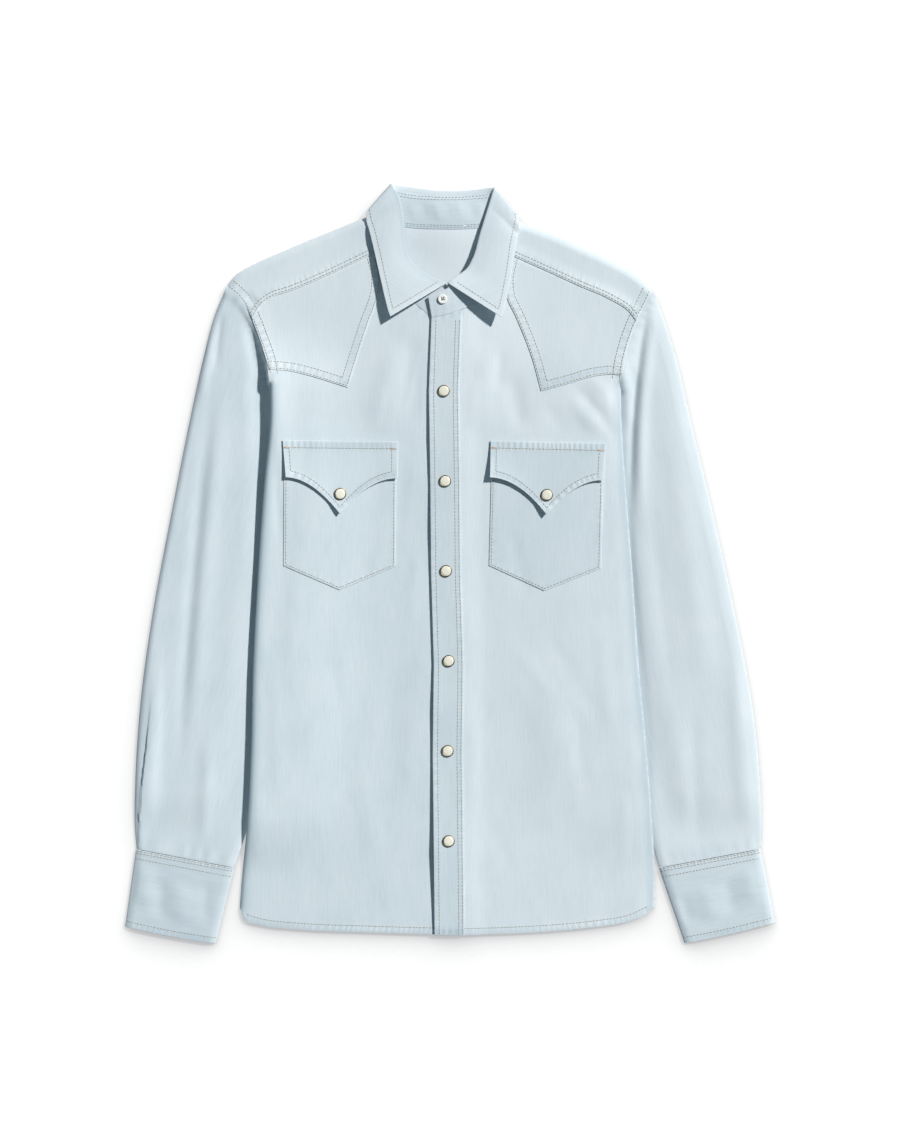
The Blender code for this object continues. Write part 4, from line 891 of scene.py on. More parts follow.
def node(tree, kind, links=(), values=(), **settings):
    """Adds a node: settings are its own, values fill its sockets and links join other outputs to them."""
    made = tree.nodes.new(kind)
    for key, value in settings.items():
        setattr(made, key, value)
    for socket, value in values:
        made.inputs[socket].default_value = value
    for output, socket in links:
        tree.links.new(output, made.inputs[socket])
    return made


def noise(tree, vector, scale, detail, flat=False, **more):
    """The grey of a noise texture of this scale per metre; more sets its other sockets."""
    values = [("Scale", scale), ("Detail", detail), *((key.title(), value) for key, value in more.items())]
    return node(tree, "ShaderNodeTexNoise", [(vector, "Vector")], values,
                noise_dimensions="2D" if flat else "3D").outputs["Fac"]


def stretched(tree, vector, **more):
    """A vector scaled or turned by a Mapping node."""
    values = [(key.title(), value) for key, value in more.items()]
    return node(tree, "ShaderNodeMapping", [(vector, "Vector")], values).outputs[0]


def mixed(tree, share, first, second):
    """A colour between two others, each of them linear or the output of a node."""
    links, values = [(share, 0)], []
    for socket, colour in ((MIX_A, first), (MIX_B, second)):
        if isinstance(colour, bpy.types.NodeSocket):
            links.append((colour, socket))
        else:
            values.append((socket, (*colour, 1.0)))
    return node(tree, "ShaderNodeMix", links, values, data_type="RGBA").outputs[MIX_OUT]


def ranged(tree, value, low, high, bottom, top):
    """A value that goes from low to high, as one that goes from bottom to top."""
    return node(tree, "ShaderNodeMapRange", [(value, "Value")],
                [("From Min", low), ("From Max", high), ("To Min", bottom), ("To Max", top)]).outputs[0]


def maths(tree, operation, first, second, clamp=True):
    """The sum, product or power of a value and a second value or number."""
    linked = isinstance(second, bpy.types.NodeSocket)
    return node(tree, "ShaderNodeMath", [(first, 0)] + [(second, 1)] * linked, [(1, second)] * (not linked),
                operation=operation, use_clamp=clamp).outputs[0]


def bumped(tree, height, strength, deep, *under):
    """A normal that a height raises by up to deep metres, over the normal under it if there is one."""
    links = [(height, "Height")] + [(normal, "Normal") for normal in under]
    return node(tree, "ShaderNodeBump", links, [("Strength", strength), ("Distance", deep)]).outputs[0]


def finish(name, dress):
    """The material of this name. dress(tree) gives its shader's links and values, the first time only."""
    material = bpy.data.materials.get(name)
    if material is None:
        material = bpy.data.materials.new(name)
        material.use_nodes = True
        tree = material.node_tree
        tree.nodes.clear()
        out = tree.nodes.new("ShaderNodeOutputMaterial")
        shader = node(tree, "ShaderNodeBsdfPrincipled", *dress(tree))
        tree.links.new(shader.outputs[0], out.inputs["Surface"])
    return material


def denim():
    """Bleached cotton denim. A stone wash leaves it matt and pale, with faint slubs along the warp, soft
    clouds of indigo and rubbed near-white ridges on every seam."""
    def dress(tree):
        colours = bpy.context.scene.shirt_colours
        grain = node(tree, "ShaderNodeUVMap", uv_map="grain").outputs["UV"]
        # warp slubs: 2 mm wide and about 24 mm long, groups of thickened threads
        slub = noise(tree, stretched(tree, grain, scale=(480.0, 42.0, 1.0)), 1.0, 3.0, True, roughness=0.65)
        # indigo clouds left by the wash: 35 mm across, drawn out along the warp
        cloud = noise(tree, stretched(tree, grain, scale=(34.0, 17.0, 1.0)), 1.0, 4.0, True, roughness=0.55)
        # 3/1 twill: 0.9 mm between ribs at 60 degrees, as coarse as it may be to show from near by
        twill = node(tree, "ShaderNodeTexWave",
                     [(stretched(tree, grain, rotation=(0.0, 0.0, math.radians(62.0))), "Vector")],
                     [("Scale", WAVE_SCALE / 0.0009), ("Distortion", 0.6), ("Detail", 1.0),
                      ("Detail Scale", 2.0)],
                     wave_type="BANDS", bands_direction="X", wave_profile="SIN").outputs["Fac"]
        fuzz = noise(tree, grain, 900.0, 2.0, True)
        # this attribute carries wear, and also painted shade beside the side folds and on the collar's roll,
        # and painted light inside the neck
        wear_light_and_shade_node = node(tree, "ShaderNodeAttribute", attribute_name="wear_light_and_shade", attribute_type="GEOMETRY")
        wear_light_and_shade = wear_light_and_shade_node.outputs["Fac"]
        slubs, clouds = (ranged(tree, value, 0.3, 0.7, -0.5, 0.5) for value in (slub, cloud))
        tone = ranged(tree, maths(tree, "ADD", slubs, clouds, clamp=False), -1.0, 1.0, 0.0, 1.0)
        washed = mixed(tree, tone, colours.denim_deep, colours.denim)
        worn = mixed(tree, maths(tree, "MULTIPLY", wear_light_and_shade, 0.75), washed, colours.denim_worn_and_lit)
        final = mixed(tree, maths(tree, "MULTIPLY", wear_light_and_shade, -0.7), worn, colours.denim_seam_and_shade)
        rib = bumped(tree, twill, 0.35, 0.00012)
        nap = bumped(tree, fuzz, 0.25, 0.0002, bumped(tree, slub, 0.3, 0.0002, rib))
        return [(final, "Base Color"), (nap, "Normal")], [
            ("Roughness", 0.86), ("Sheen Weight", 0.12), ("Sheen Roughness", 0.6),
            ("Specular IOR Level", 0.25)]
    return finish("washed_cotton_denim", dress)


def flecked(name, colour, deep, scale, detail, values, bright=1.0, relief=None, rough=None, **more):
    """A finish flecked between two shares of its colour, and if asked in relief and in roughness."""
    def dress(tree):
        fleck = noise(tree, node(tree, "ShaderNodeTexCoord").outputs["Object"], scale, detail, **more)
        ends = ([min(1.0, c * share) for c in colour] for share in (deep, bright))
        links = [(mixed(tree, fleck, *ends), "Base Color")]
        if relief:
            links.append((bumped(tree, fleck, *relief), "Normal"))
        if rough:
            links.append((ranged(tree, fleck, 0.0, 1.0, *rough), "Roughness"))
        return links, values
    return finish(name, dress)


def thread_finish(name, colour):
    """Spun cotton thread. The twist gives it fine ribs and a dull, slightly fibrous light."""
    return flecked(name, colour, 0.72, 1400.0, 2.0, [("Roughness", 0.75), ("Sheen Weight", 0.2)],
                   relief=(0.4, 0.0001))


def pearl():
    """Cast polyester with mica, the usual pearl snap. Cloudy swirls 2 mm across lie under a clear face."""
    return flecked("pearl_polyester", bpy.context.scene.shirt_colours.pearl, 0.74, 450.0, 3.0,
                   [("Roughness", 0.4), ("IOR", 1.5), ("Coat Weight", 0.25), ("Coat Roughness", 0.15)],
                   bright=1.12, distortion=1.6)


def ring_metal():
    """Brass with a dark antique plate. Specks 0.8 mm across go from brown-black to rubbed dull brass."""
    return flecked("antique_brass", bpy.context.scene.shirt_colours.ring, 0.4, 1200.0, 3.0,
                   [("Metallic", 1.0)], rough=(0.3, 0.55))


def button_finish():
    """Polished white polyester button. It has a faint cream depth and a sharp small highlight."""
    return flecked("white_polyester", bpy.context.scene.shirt_colours.button, 0.9, 300.0, 2.0,
                   [("Roughness", 0.25), ("IOR", 1.54)])


def floor_finish():
    """White seamless card. It glows a little, so that shadows on it stay light, and its soft shading beside
    the shirt is painted shadow from an ambient occlusion node.
    """
    def dress(tree):
        stage = bpy.context.scene.shirt_stage
        # painted shadow: an ambient occlusion node darkens the card's glow beside the shirt, leaned towards
        # the hem as under a wide lamp beyond the collar
        lean = node(tree, "ShaderNodeCombineXYZ", (), [("X", 0.1), ("Y", 0.85), ("Z", 0.5)]).outputs[0]
        near = node(tree, "ShaderNodeAmbientOcclusion", [(lean, "Normal")], [("Distance", 0.05)], samples=16)
        glow = mixed(tree, maths(tree, "POWER", near.outputs["AO"], 2.4), stage.shade, (1.0, 1.0, 1.0))
        return [(glow, "Emission Color")], [("Base Color", (*stage.floor, 1.0)), ("Roughness", 0.9),
                                            ("Emission Strength", stage.floor_glow)]
    return finish("white_card", dress)


# ---------------------------------------------------------------- cut pieces of cloth

def wing_layer(side):
    """The yoke over a shoulder: it laps the front's own yoke along the shoulder seam."""
    line = smooth(SHOULDER_SEAM[side])

    def height(plan):
        return upper_layer(plan) + SEAM_RISE * bell(distance(plan, line), SEAM_SLOPE)
    return height


def top_grid(plan, height, own_edge=0.0):
    """A layer of the body's top with its wear: pale on puckers and, by own_edge, along its folded edges."""
    points = lift(plan, height(plan))
    wear_light_and_shade = seam_effect(plan, SEAMS)[1] + SHOULDER_FADE * ramp(plan[..., 1], *FADE_RAMP)
    return points, wear_light_and_shade + own_edge * edge_wear(points)


def front_columns():
    """Shares across a front, with the one of them where the shoulder seam meets the neck."""
    below = np.linspace(FOLD_REACH / FRONT_WIDTH, NECK_COLUMN, steps(FRONT_WIDTH * NECK_COLUMN, 2.2))
    beyond = np.linspace(NECK_COLUMN, 1.0, steps(FRONT_WIDTH * (1 - NECK_COLUMN), 2.2))
    return np.concatenate((fold_columns(FRONT_WIDTH), below[1:], beyond[1:]))


def front_rows():
    """Shares up a front, with the underarm's among them."""
    return np.concatenate((np.linspace(0, UNDERARM_SHARE, steps(540, 3.2)),
                           np.linspace(UNDERARM_SHARE, 1, steps(75, 2.4))[1:]))


def side_turn(y):
    """How far a front reaches under the body to its side seam: it runs out towards the underarm."""
    return SIDE_TURN * ease((UNDERARM_Y - y) / TURN_FADE)


def make_front(side):
    """A front: hem, side fold with its turn under to the side seam, armhole, shoulder seam and neck."""
    up, columns = front_rows(), front_columns()
    side_edge = joined((SIDE_LINE[side], ARMHOLE[side][:SEAM_ROW + 1]),
                       (UNDERARM_SHARE, 1 - UNDERARM_SHARE), up)
    neck = neck_line(side, *FRONT_NECK[side], FINE)
    foot_y, head_y = HEM[side][-1][1], neck[-1][1]
    heights = foot_y + (head_y - foot_y) * up
    lapped = placket_middle(heights) - PLACKET_WIDTH / 2 + LAP_INSIDE
    reach = np.full(len(up), UNDERLAP_X) if side == "right" else lapped
    centre = np.stack((reach, heights), axis=-1)
    hem_line = np.vstack((HEM[side][:-1], centre[:1]))
    top = joined((SHOULDER_SEAM[side], neck), (NECK_COLUMN, 1 - NECK_COLUMN), columns)
    top[0], top[-1] = side_edge[-1], centre[-1]
    plan = patch(columns, up, curve(hem_line, columns), top, side_edge, centre)
    fold = side_edge[up < UNDERARM_SHARE]
    under = np.array(SIDE_TURN_SHARES) * side_turn(fold[:, 1:])
    turn = np.stack((fold[:, :1] - SIDES[side] * under, np.broadcast_to(fold[:, 1:], under.shape)), axis=-1)
    turn[0, :, 1] = np.interp(under[0], np.abs(plan[0, :, 0] - fold[0, 0]), plan[0, :, 1])
    plan[-1, :, 1] -= 2 * GAP
    points, wear_light_and_shade = top_grid(plan, FRONT_LAYER[side])
    # painted shade along the front's side fold
    wear_light_and_shade = wear_light_and_shade - PAINTED_SIDE_SHADE[side] * bell(distance(plan, SIDE_CURVE[side]), SHADE_REACH)
    sew("front_" + side, (points, wear_light_and_shade), (lift(turn, lower_layer(turn)), np.zeros(turn.shape[:2])))


def make_back():
    """The back, which lies on the surface between the two side seams."""
    arm = BACK_ARM_START
    up = np.concatenate((np.linspace(0, arm, steps(540, 4.0)), np.linspace(arm, 1.0, steps(50, 4.0))[1:]))
    across = np.concatenate(((0.0, 0.01, 0.02), np.linspace(0.03, 0.97, steps(370, 4.0)), (0.98, 0.99, 1.0)))
    edges = []
    for side, sign in SIDES.items():
        line = joined((SIDE_LINE[side], ARMHOLE[side][:3]), (arm, 1 - arm), up)
        line[:, 0] -= sign * (side_turn(line[:, 1]) + SEAM_PLAY)
        edges.append(line)
    right, left = edges
    hem_points = np.array(HEM["right"][1:-1] + ((0, 0.3),) + HEM["left"][-2:1:-1], float)
    hem_points[0], hem_points[-1] = (right[0, 0], BACK_CORNERS[0]), (left[0, 0], BACK_CORNERS[1])
    right[0], left[0] = hem_points[0], hem_points[-1]
    hem = curve(hem_points, across)
    for line in (hem, right[:1], left[:1]):
        line[:, 1] += HEM_STEP
    seam_x = right[-1, 0] + (left[-1, 0] - right[-1, 0]) * across
    seam = np.stack((seam_x, np.full(len(across), BACK_SEAM_Y)), axis=-1)
    right[-1, 1] = left[-1, 1] = BACK_SEAM_Y
    plan = patch(across, up, hem, seam, right, left)
    points = lift(plan, lower_layer(plan))
    sew("back", (points, 0.6 * edge_wear(points)))


def yoke_columns():
    """Shares across a yoke that meet a front's columns along the shoulder seam."""
    columns = front_columns()
    return columns[columns <= NECK_COLUMN] / NECK_COLUMN


def make_yoke():
    """The yoke: its back part under the neck, and a wing over each shoulder down to the front seam."""
    seam_y = BACK_SEAM_Y + GAP
    up_back = 1 - np.concatenate((fold_columns(95.0), np.linspace(0.09, 1.0, steps(90, 3.5))))[::-1]
    up_front = 1 - np.concatenate((fold_columns(45.0), np.linspace(0.2, 1.0, steps(36, 1.8))))[::-1]
    along_seam = yoke_columns()
    grids, corners = [], []
    for side, sign in SIDES.items():
        fold = curve(SHOULDER_FOLD[side][::-1], along_seam)
        arm = curve(ARMHOLE[side], FINE)
        above = arm[arm[:, 1] > seam_y]
        start = np.array((np.interp(seam_y, arm[:, 1], arm[:, 0]), seam_y))
        arm_back = curve(np.vstack((start[None], above[4:-8:16], above[-1:])), up_back)
        inner_y = seam_y + (fold[-1, 1] - seam_y) * up_back
        inner = np.stack((np.full(len(up_back), fold[-1, 0]), inner_y), axis=-1)
        corners.append(inner)
        foot = start + (inner[0] - start) * along_seam[:, None]
        plan = patch(along_seam, up_back, foot, fold, arm_back, inner)
        grids.append((lift(plan, lower_layer(plan)), np.zeros(plan.shape[:2])))
        seam = moved(curve(SHOULDER_SEAM[side], along_seam), sign * SEAM_OVER)
        arm_front = curve(ARMHOLE[side][SEAM_ROW:], up_front)
        throat = neck_line(side, *YOKE_NECK[side], up_front)
        plan = patch(along_seam, up_front, seam, fold, arm_front, throat)
        grids.append(top_grid(plan, wing_layer(side), 0.25))
    across = spread(steps(140, 3.0))
    right, left = corners
    foot = right[0] + (left[0] - right[0]) * across[:, None]
    plan = patch(across, up_back, foot, neck_line("back", 0, -1, across), right, left)
    # painted light on the yoke inside the neck
    grids.append((lift(plan, lower_layer(plan)), np.full(plan.shape[:2], YOKE_INSIDE_PAINTED_LIGHT)))
    sew("yoke", *grids)


def make_front_yoke(side):
    """The pointed yoke on a front, one layer above it."""
    across, up = yoke_columns(), spread(steps(110, 1.8))
    top = curve(SHOULDER_SEAM[side], across) - (0.0, 2 * GAP)
    arm = curve(((YOKE_EDGE[side][0],) + ARMHOLE[side][2:SEAM_ROW + 1]), up)
    rise = curve(YOKE_RISE[side], up)
    arm[-1], rise[-1] = top[0], top[-1]
    plan = patch(across, up, curve(YOKE_EDGE[side], across), top, arm, rise)
    sew("front_yoke_" + side, top_grid(plan, overlay(side), 0.4), wall=THIN)


def make_placket():
    """The strip down the overlapping front, one layer above it."""
    across = spread(steps(PLACKET_WIDTH, 1.5), -0.5, 0.5)
    foot = HEM["left"][-1][1]
    top = PLACKET_TOP[0] + (across + 0.5) * (PLACKET_TOP[1] - PLACKET_TOP[0])
    y = foot + (top - foot) * spread(steps(620, 2.2))[:, None]
    plan = np.stack((placket_middle(y) + across * PLACKET_WIDTH, y), axis=-1)
    sew("placket", top_grid(plan, placket_layer, 0.15))


def pointed_grid(width, height, pitch):
    """Shares across, -0.5 to 0.5 with one at 0 for the point, and down, 0 to 1, of a grid of this pitch."""
    return np.meshgrid(spread(steps(width, pitch) // 2 * 2 + 1, -0.5, 0.5), spread(steps(height, pitch)))


def make_pocket(side):
    """A patch pocket with a pointed foot, one layer above the front."""
    u, v = pointed_grid(POCKET["width"], 140, 1.8)
    foot = -(POCKET["side"] + POCKET["point"] * (1 - 2 * np.abs(u)))
    plan = pocket_plan(side, u * POCKET["width"], foot * v)
    sew("pocket_" + side, top_grid(plan, overlay(side), 0.3), wall=THIN)


def flap_place(side, x, y):
    """Plan of a point of a flap, whose outer edge is drawn in towards its free corner."""
    down = np.clip((FLAP["above"] - y) / FLAP["side"], 0.0, 1.0)
    outer = np.clip(2 * x * SIDES[side] / FLAP["width"], 0.0, 1.0)
    return pocket_plan(side, x - SIDES[side] * FLAP_DRAWN[side] * down * outer ** 2, y)


def flap_depth(u):
    """How deep a flap is at u across, from -0.5 to 0.5: two scallops to its point."""
    return FLAP["side"] + FLAP["point"] * (1 - 2 * np.abs(u)) ** 2


def flap_plan(side, u, v):
    """Plan of a flap: u across from -0.5 to 0.5, v down from 0 to 1."""
    return flap_place(side, u * FLAP["width"], FLAP["above"] - flap_depth(u) * v)


def flap_height(side, plan):
    """A flap lies two layers above the front and stands up along its free edge."""
    x0, y0, cos, sin = pocket_axes(side)
    x, y = plan[..., 0] - x0, plan[..., 1] - y0
    u = np.clip((x * cos + y * sin) / FLAP["width"], -0.5, 0.5)
    down = np.maximum(FLAP["above"] - (y * cos - x * sin), 0.0)
    outer, inner = FLAP_LIFT[side]
    towards_left = u + 0.5
    edge = inner + (outer - inner) * (towards_left if side == "left" else 1 - towards_left)
    free = FLAP_FREE + (1 - FLAP_FREE) * (2 * u) ** 2
    stand = edge * (down / FLAP["side"]) ** 1.5 * free + TIP_CURL * ramp(down, *TIP_RAMP)
    return FRONT_LAYER[side](plan) + FLAP_STEP + stand


def flap_seams(side):
    """Lines on a flap that pucker: its seam across the top, and the stitched line inside its free edge."""
    u = np.linspace(-0.46, 0.46, 60)
    x, above, seams = u * FLAP["width"], FLAP["above"], []
    for name, (inside, *pucker, seed) in FLAP_PUCKERS.items():
        line = (pocket_plan(side, x, np.full(len(x), above - inside)) if name == "seam"
                else flap_place(side, x, above - flap_depth(u) + inside))
        seams.append((line, *pucker, seed + SIDES[side]))
    return seams


def flap_layer(side):
    """The top of a flap with its puckers, as its height over plan points."""
    return lambda plan: flap_height(side, plan) + seam_effect(plan, flap_seams(side))[0]


def make_flap(side):
    """A pocket flap, two layers above the front."""
    plan = flap_plan(side, *pointed_grid(FLAP["width"], 60, 1.3))
    points = lift(plan, flap_layer(side)(plan))
    wear_light_and_shade = seam_effect(plan, flap_seams(side))[1] + 0.45 * edge_wear(points, 1.4)
    sew("pocket_flap_" + side, (points, wear_light_and_shade))


def sleeve_seams(side):
    """Seams that pucker a sleeve: the armhole, and the pleats above the cuff."""
    sign = SIDES[side]
    lines = {"armhole": lambda away: moved(smooth(ARMHOLE[side]), -sign * away),
             "cuff": lambda away: np.linspace(*CUFF[side][:2], 30) + (0.0, away)}
    return [(lines[name](away), *pucker, seed + sign)
            for name, (away, *pucker, seed) in SLEEVE_PUCKERS.items()]


def make_sleeve(side):
    """A sleeve, from the armhole seam to the cuff: two layers that meet in its inner and outer folds."""
    sign = SIDES[side]
    head, arm = spread(steps(110, 3.0), 0, HEAD_SHARE), spread(steps(480, 3.2), HEAD_SHARE, 1)
    rows = np.concatenate((head, arm[1:]))
    off_seam = np.array((sign * 0.93, -0.37))   # square to the armhole
    armhole = curve(ARMHOLE[side], spread(14, 0.985, 0)) - TUCKED * off_seam
    cuff_outer, cuff_inner = np.array(CUFF[side][:2], float)
    seam = cuff_outer - cuff_inner
    clear = np.array((-seam[1], seam[0])) / np.linalg.norm(seam) * sign * (GAP + CLOTH / 4)
    inner_edge, outer_edge = np.array(SLEEVE_INNER[side], float), np.array(SLEEVE_OUTER[side], float)
    inner_edge[0], inner_edge[-1] = armhole[-1], cuff_inner + clear
    outer_edge[-1] = cuff_outer + clear
    inner = joined((armhole, inner_edge), (HEAD_SHARE, 1 - HEAD_SHARE), rows)
    outer = curve(outer_edge, rows)
    width = np.linalg.norm(outer - inner, axis=1)
    turn = fold_columns(1.0) * np.minimum(1.0, width / NARROW)[:, None] / width[:, None]
    middle = np.concatenate((spread(steps(96, 2.6), 0, OUTER_START)[1:], spread(20, OUTER_START, 1)[1:-1]))
    open_part = turn[:, -1:] + (1 - 2 * turn[:, -1:]) * middle
    across = np.concatenate((turn, open_part, 1 - turn[:, ::-1]), axis=1)[..., None]
    plan = inner[:, None] * (1 - across) + outer[:, None] * across
    low, high = sleeve_layers(plan, side)
    relief, wear_light_and_shade = seam_effect(plan, sleeve_seams(side))
    to_edge = np.minimum(across[..., 0], 1 - across[..., 0]) * width[:, None]
    high = high + relief * pressed(to_edge) * ramp(to_edge, 1.5, 3.0)
    folded = rows >= HEAD_SHARE
    low[folded, 0] = high[folded, 0] = (low[folded, 0] + high[folded, 0]) / 2
    low[:, -1] = high[:, -1] = (low[:, -1] + high[:, -1]) / 2
    worn = FOLD_WEAR * bell(to_edge, FOLD_WEAR_REACH)
    # painted shade on the left sleeve beside the body's edge
    if side == "left":
        wear_light_and_shade = wear_light_and_shade - PAINTED_SLEEVE_SHADE * bell(distance(plan, SIDE_CURVE[side]), SHADE_REACH)
    sew("sleeve_" + side, (lift(plan, low), worn), (lift(plan, high), wear_light_and_shade + worn), turn=SLEEVE_TURN * sign)


def cuff_points(side):
    """A fastened barrel cuff: its two layers as draft points, and the wear of the upper one."""
    upper_outer, upper_inner, lower_inner, lower_outer = np.array(CUFF[side], float)
    edge = fold_columns(CUFF_ACROSS)
    across = np.concatenate((edge, np.linspace(0.07, 0.93, steps(86, 1.8))[1:-1], 1 - edge[::-1]))
    up = spread(steps(78, 1.8))
    top = upper_inner + (upper_outer - upper_inner) * across[:, None]
    foot = lower_inner + (lower_outer - lower_inner) * across[:, None]
    foot[:, 1] -= CUFF_DROOP * np.sin(math.pi * across)
    first = lower_inner + (upper_inner - lower_inner) * up[:, None]
    last = lower_outer + (upper_outer - lower_outer) * up[:, None]
    plan = patch(across, up, foot, top, first, last)
    away = np.minimum(across, 1 - across) * CUFF_ACROSS
    half = np.broadcast_to(CUFF_LOFT / 2 * pressed(away), plan.shape[:2])
    middle = TWO_PLY / 2 + CUFF_LOFT / 2
    swell = CUFF_SWELL * np.sin(math.pi * across) * np.sin(math.pi * up)[:, None]
    seams = [((line + (0.0, above))[::3], *pucker)
             for line, (above, *pucker) in zip((plan[-1], plan[0]), CUFF_PUCKERS.values())]
    relief, wear_light_and_shade = seam_effect(plan, seams)
    shut = ramp(away, *CUFF_SHUT)
    high = middle + half + swell + (relief + fold_relief(plan, CUFF_DENTS[side])) * shut
    return lift(plan, middle - half), lift(plan, high), wear_light_and_shade * shut


def make_cuff(side):
    """A fastened cuff, two plies thick."""
    low, high, wear_light_and_shade = cuff_points(side)
    sew("cuff_" + side, (low, 0.3 * edge_wear(low)), (high, wear_light_and_shade + 0.3 * edge_wear(high)), wall=TWO_PLY,
        turn=90.0 + SLEEVE_TURN * SIDES[side])


def collar_part(part, tabs):
    """Sections of a part of the collar, with or without the stand's tabs, as neck, roll and edge points."""
    marks = COLLAR_MARKS[part]
    length = np.linalg.norm(np.diff(COLLAR_ROLL[part], axis=0), axis=1).sum()
    start = marks[1] if part == "right" and not tabs else 0.0
    end = marks[-2] if part == "left" and not tabs else 1.0
    beside = np.array(TURN_COLUMNS) / length
    places = spread(steps(length, 2.0), start, end)
    if part != "left":
        places = np.concatenate((places[places < 1 - 1.1 * beside[-1]], 1 - beside[::-1]))
    if part != "right":
        places = np.concatenate((beside, places[places > 1.1 * beside[-1]]))
    neck_plan, roll, edge = (curve(table[part], places, marks)
                             for table in (COLLAR_PLAN, COLLAR_ROLL, COLLAR_EDGE))
    middle, half, _ = body_lie(neck_plan)
    height = lower_layer(neck_plan) if part == "back" else middle + half
    if part == "left":
        lap, top = marks[list(LAPPED)]
        lapped = overlap_layer(neck_plan) + PLACKET_STEP * ramp(places, lap, top - lap)
        height = np.where(places > marks[FRONT_NECK["left"][0]], lapped, height)
    for line, table in ((roll, COLLAR_ROLL), (edge, COLLAR_EDGE)):
        for side, turn, other in (("right", -1, 0), ("left", 0, -1)):
            if part in (side, "back"):
                axis = np.array((COLLAR_PLAN[side][turn], COLLAR_ROLL[side][turn, :2]))
                outward = np.array((axis[0] - axis[1], axis[1] - axis[0])) * 0.5 + axis
                away = distance(line, outward)
                mid = (table[side][turn, 2] + table["back"][other, 2]) / 2
                line[:, 2] = mid + (line[:, 2] - mid) * closing(away, COLLAR_REACH)
    return lift(neck_plan, height), roll, edge


def collar_sections(tabs):
    """The whole collar's sections: neck, roll, free edge, the way up and the side its fall lies on."""
    parts = [collar_part(part, tabs) for part in COLLAR]
    neck, roll, edge = (np.concatenate([lines[0]] + [line[1:] for line in lines[1:]])
                        for lines in zip(*parts))
    rise = roll - neck
    rise /= np.linalg.norm(rise, axis=1)[:, None]
    neck = neck + rise * (SEAM_PLAY + GAP)
    middle = (neck + roll) / 2
    run = np.zeros_like(middle)
    run[1:-1] = middle[2:] - middle[:-2]
    run[0], run[-1] = middle[1] - middle[0], middle[-1] - middle[-2]
    out = -np.cross(run, rise)
    out /= np.linalg.norm(out, axis=1)[:, None]
    return neck, roll, edge, rise, out


def section_grain(grid):
    """Grain of the collar in millimetres: up it, and along it."""
    rise, run = travelled(grid, 0), travelled(grid[len(grid) // 2][None], 1)
    return np.stack((rise, np.broadcast_to(run, rise.shape)), axis=-1)


def stand_points():
    """The stand: a band from the neck seam to just under the roll, its ends lapped at the front."""
    neck, roll, _, rise, _ = collar_sections(True)
    neck = neck - rise * (SEAM_PLAY + GAP + SEAM_OVER) + (0.0, 0.0, STAND_CLEAR)
    shares = np.linspace(0, STAND_SHARE + STAND_OVER, steps(30, 1.8))
    grid = np.stack([neck + (roll - neck) * share for share in shares])
    belly = STAND_BELLY * bell(grid[..., 0] - NECK_OPENING[0], BELLY_WIDE) * ramp(grid[..., 1], *BELLY_RAMP)
    grid[..., 2] += (fold_relief(grid, STAND_RIPPLES) + belly) * np.sin(math.pi * shares)[:, None]
    return grid


def make_collar_stand():
    """The stand, two plies thick."""
    grid = stand_points()
    sew("collar_stand", (grid, 0.3 * edge_wear(grid), section_grain(grid)), wall=TWO_PLY, even=False)


def fall_points():
    """The fall: from the stand's upper edge it turns over the roll and comes down to its points."""
    neck, roll, edge, rise, out = collar_sections(False)
    turn = ROLL_RADIUS
    start = neck + (roll - neck) * (STAND_SHARE + FALL_OVER)
    lines = [start + (roll - rise * turn - start) * share for share in (0.0, 0.5)]
    centre = roll - rise * turn + out * turn
    for angle in np.linspace(0, math.pi, ROLL_LINES):
        lines.append(centre - out * math.cos(angle) * turn + rise * math.sin(angle) * turn * ROLL_PRESSED)
    outer = lines[-1]
    crown = out * FALL_BULGE * np.clip(out[:, 2:], 0.0, 1.0)
    level = ease(np.abs(out[:, 2:]) * 1.6 - 0.4)
    for share in np.linspace(0, 1, steps(56, 2.0))[1:]:
        line = outer + (edge - outer) * share + crown * math.sin(math.pi * share)
        off = ((line - neck) * out).sum(-1, keepdims=True)
        lines.append(line + out * np.maximum(2 * turn - off, 0.0) * level)
    grid = np.stack(lines)
    grid[..., 2] = np.maximum(grid[..., 2], TWO_PLY / 2)
    return grid


def fall_wear_and_roll_shade(grid):
    """The fall is rubbed pale along its free edges, outside the stitching; its roll on the right gets
    painted shade over its lit side.
    """
    wear_light_and_shade = 0.45 * edge_wear(grid, 3.2)
    crest = grid[2 + ROLL_LINES // 2]
    right = (crest[:, 0] < ROLL_RIGHT) & (crest[:, 1] < ROLL_TOP)
    # painted shade on the roll's lit side, on the right
    wear_light_and_shade[:len(ROLL_SHARES)] -= ROLL_PAINTED_SHADE * np.array(ROLL_SHARES)[:, None] * right
    return wear_light_and_shade


def make_collar_fall():
    """The fall, two plies thick."""
    grid = fall_points()
    sew("collar_fall", (grid, fall_wear_and_roll_shade(grid), section_grain(grid)), wall=TWO_PLY, even=False)


# ---------------------------------------------------------------- lines of stitching

def mitred(first, second):
    """Two lines of points that cross, cut where they come nearest and joined into one."""
    gaps = np.linalg.norm(first[:, None, :2] - second[None, :, :2], axis=-1)
    i, j = np.unravel_index(gaps.argmin(), gaps.shape)
    return np.concatenate((first[:i + 1], second[j:]))


def yoke_line(side, inside):
    """Line inside a front yoke's free edges: from the armhole to the point, then up to the neck."""
    lower, rise = (moved(smooth(line[side], 160), -SIDES[side] * inside) for line in (YOKE_EDGE, YOKE_RISE))
    return mitred(lower, rise)


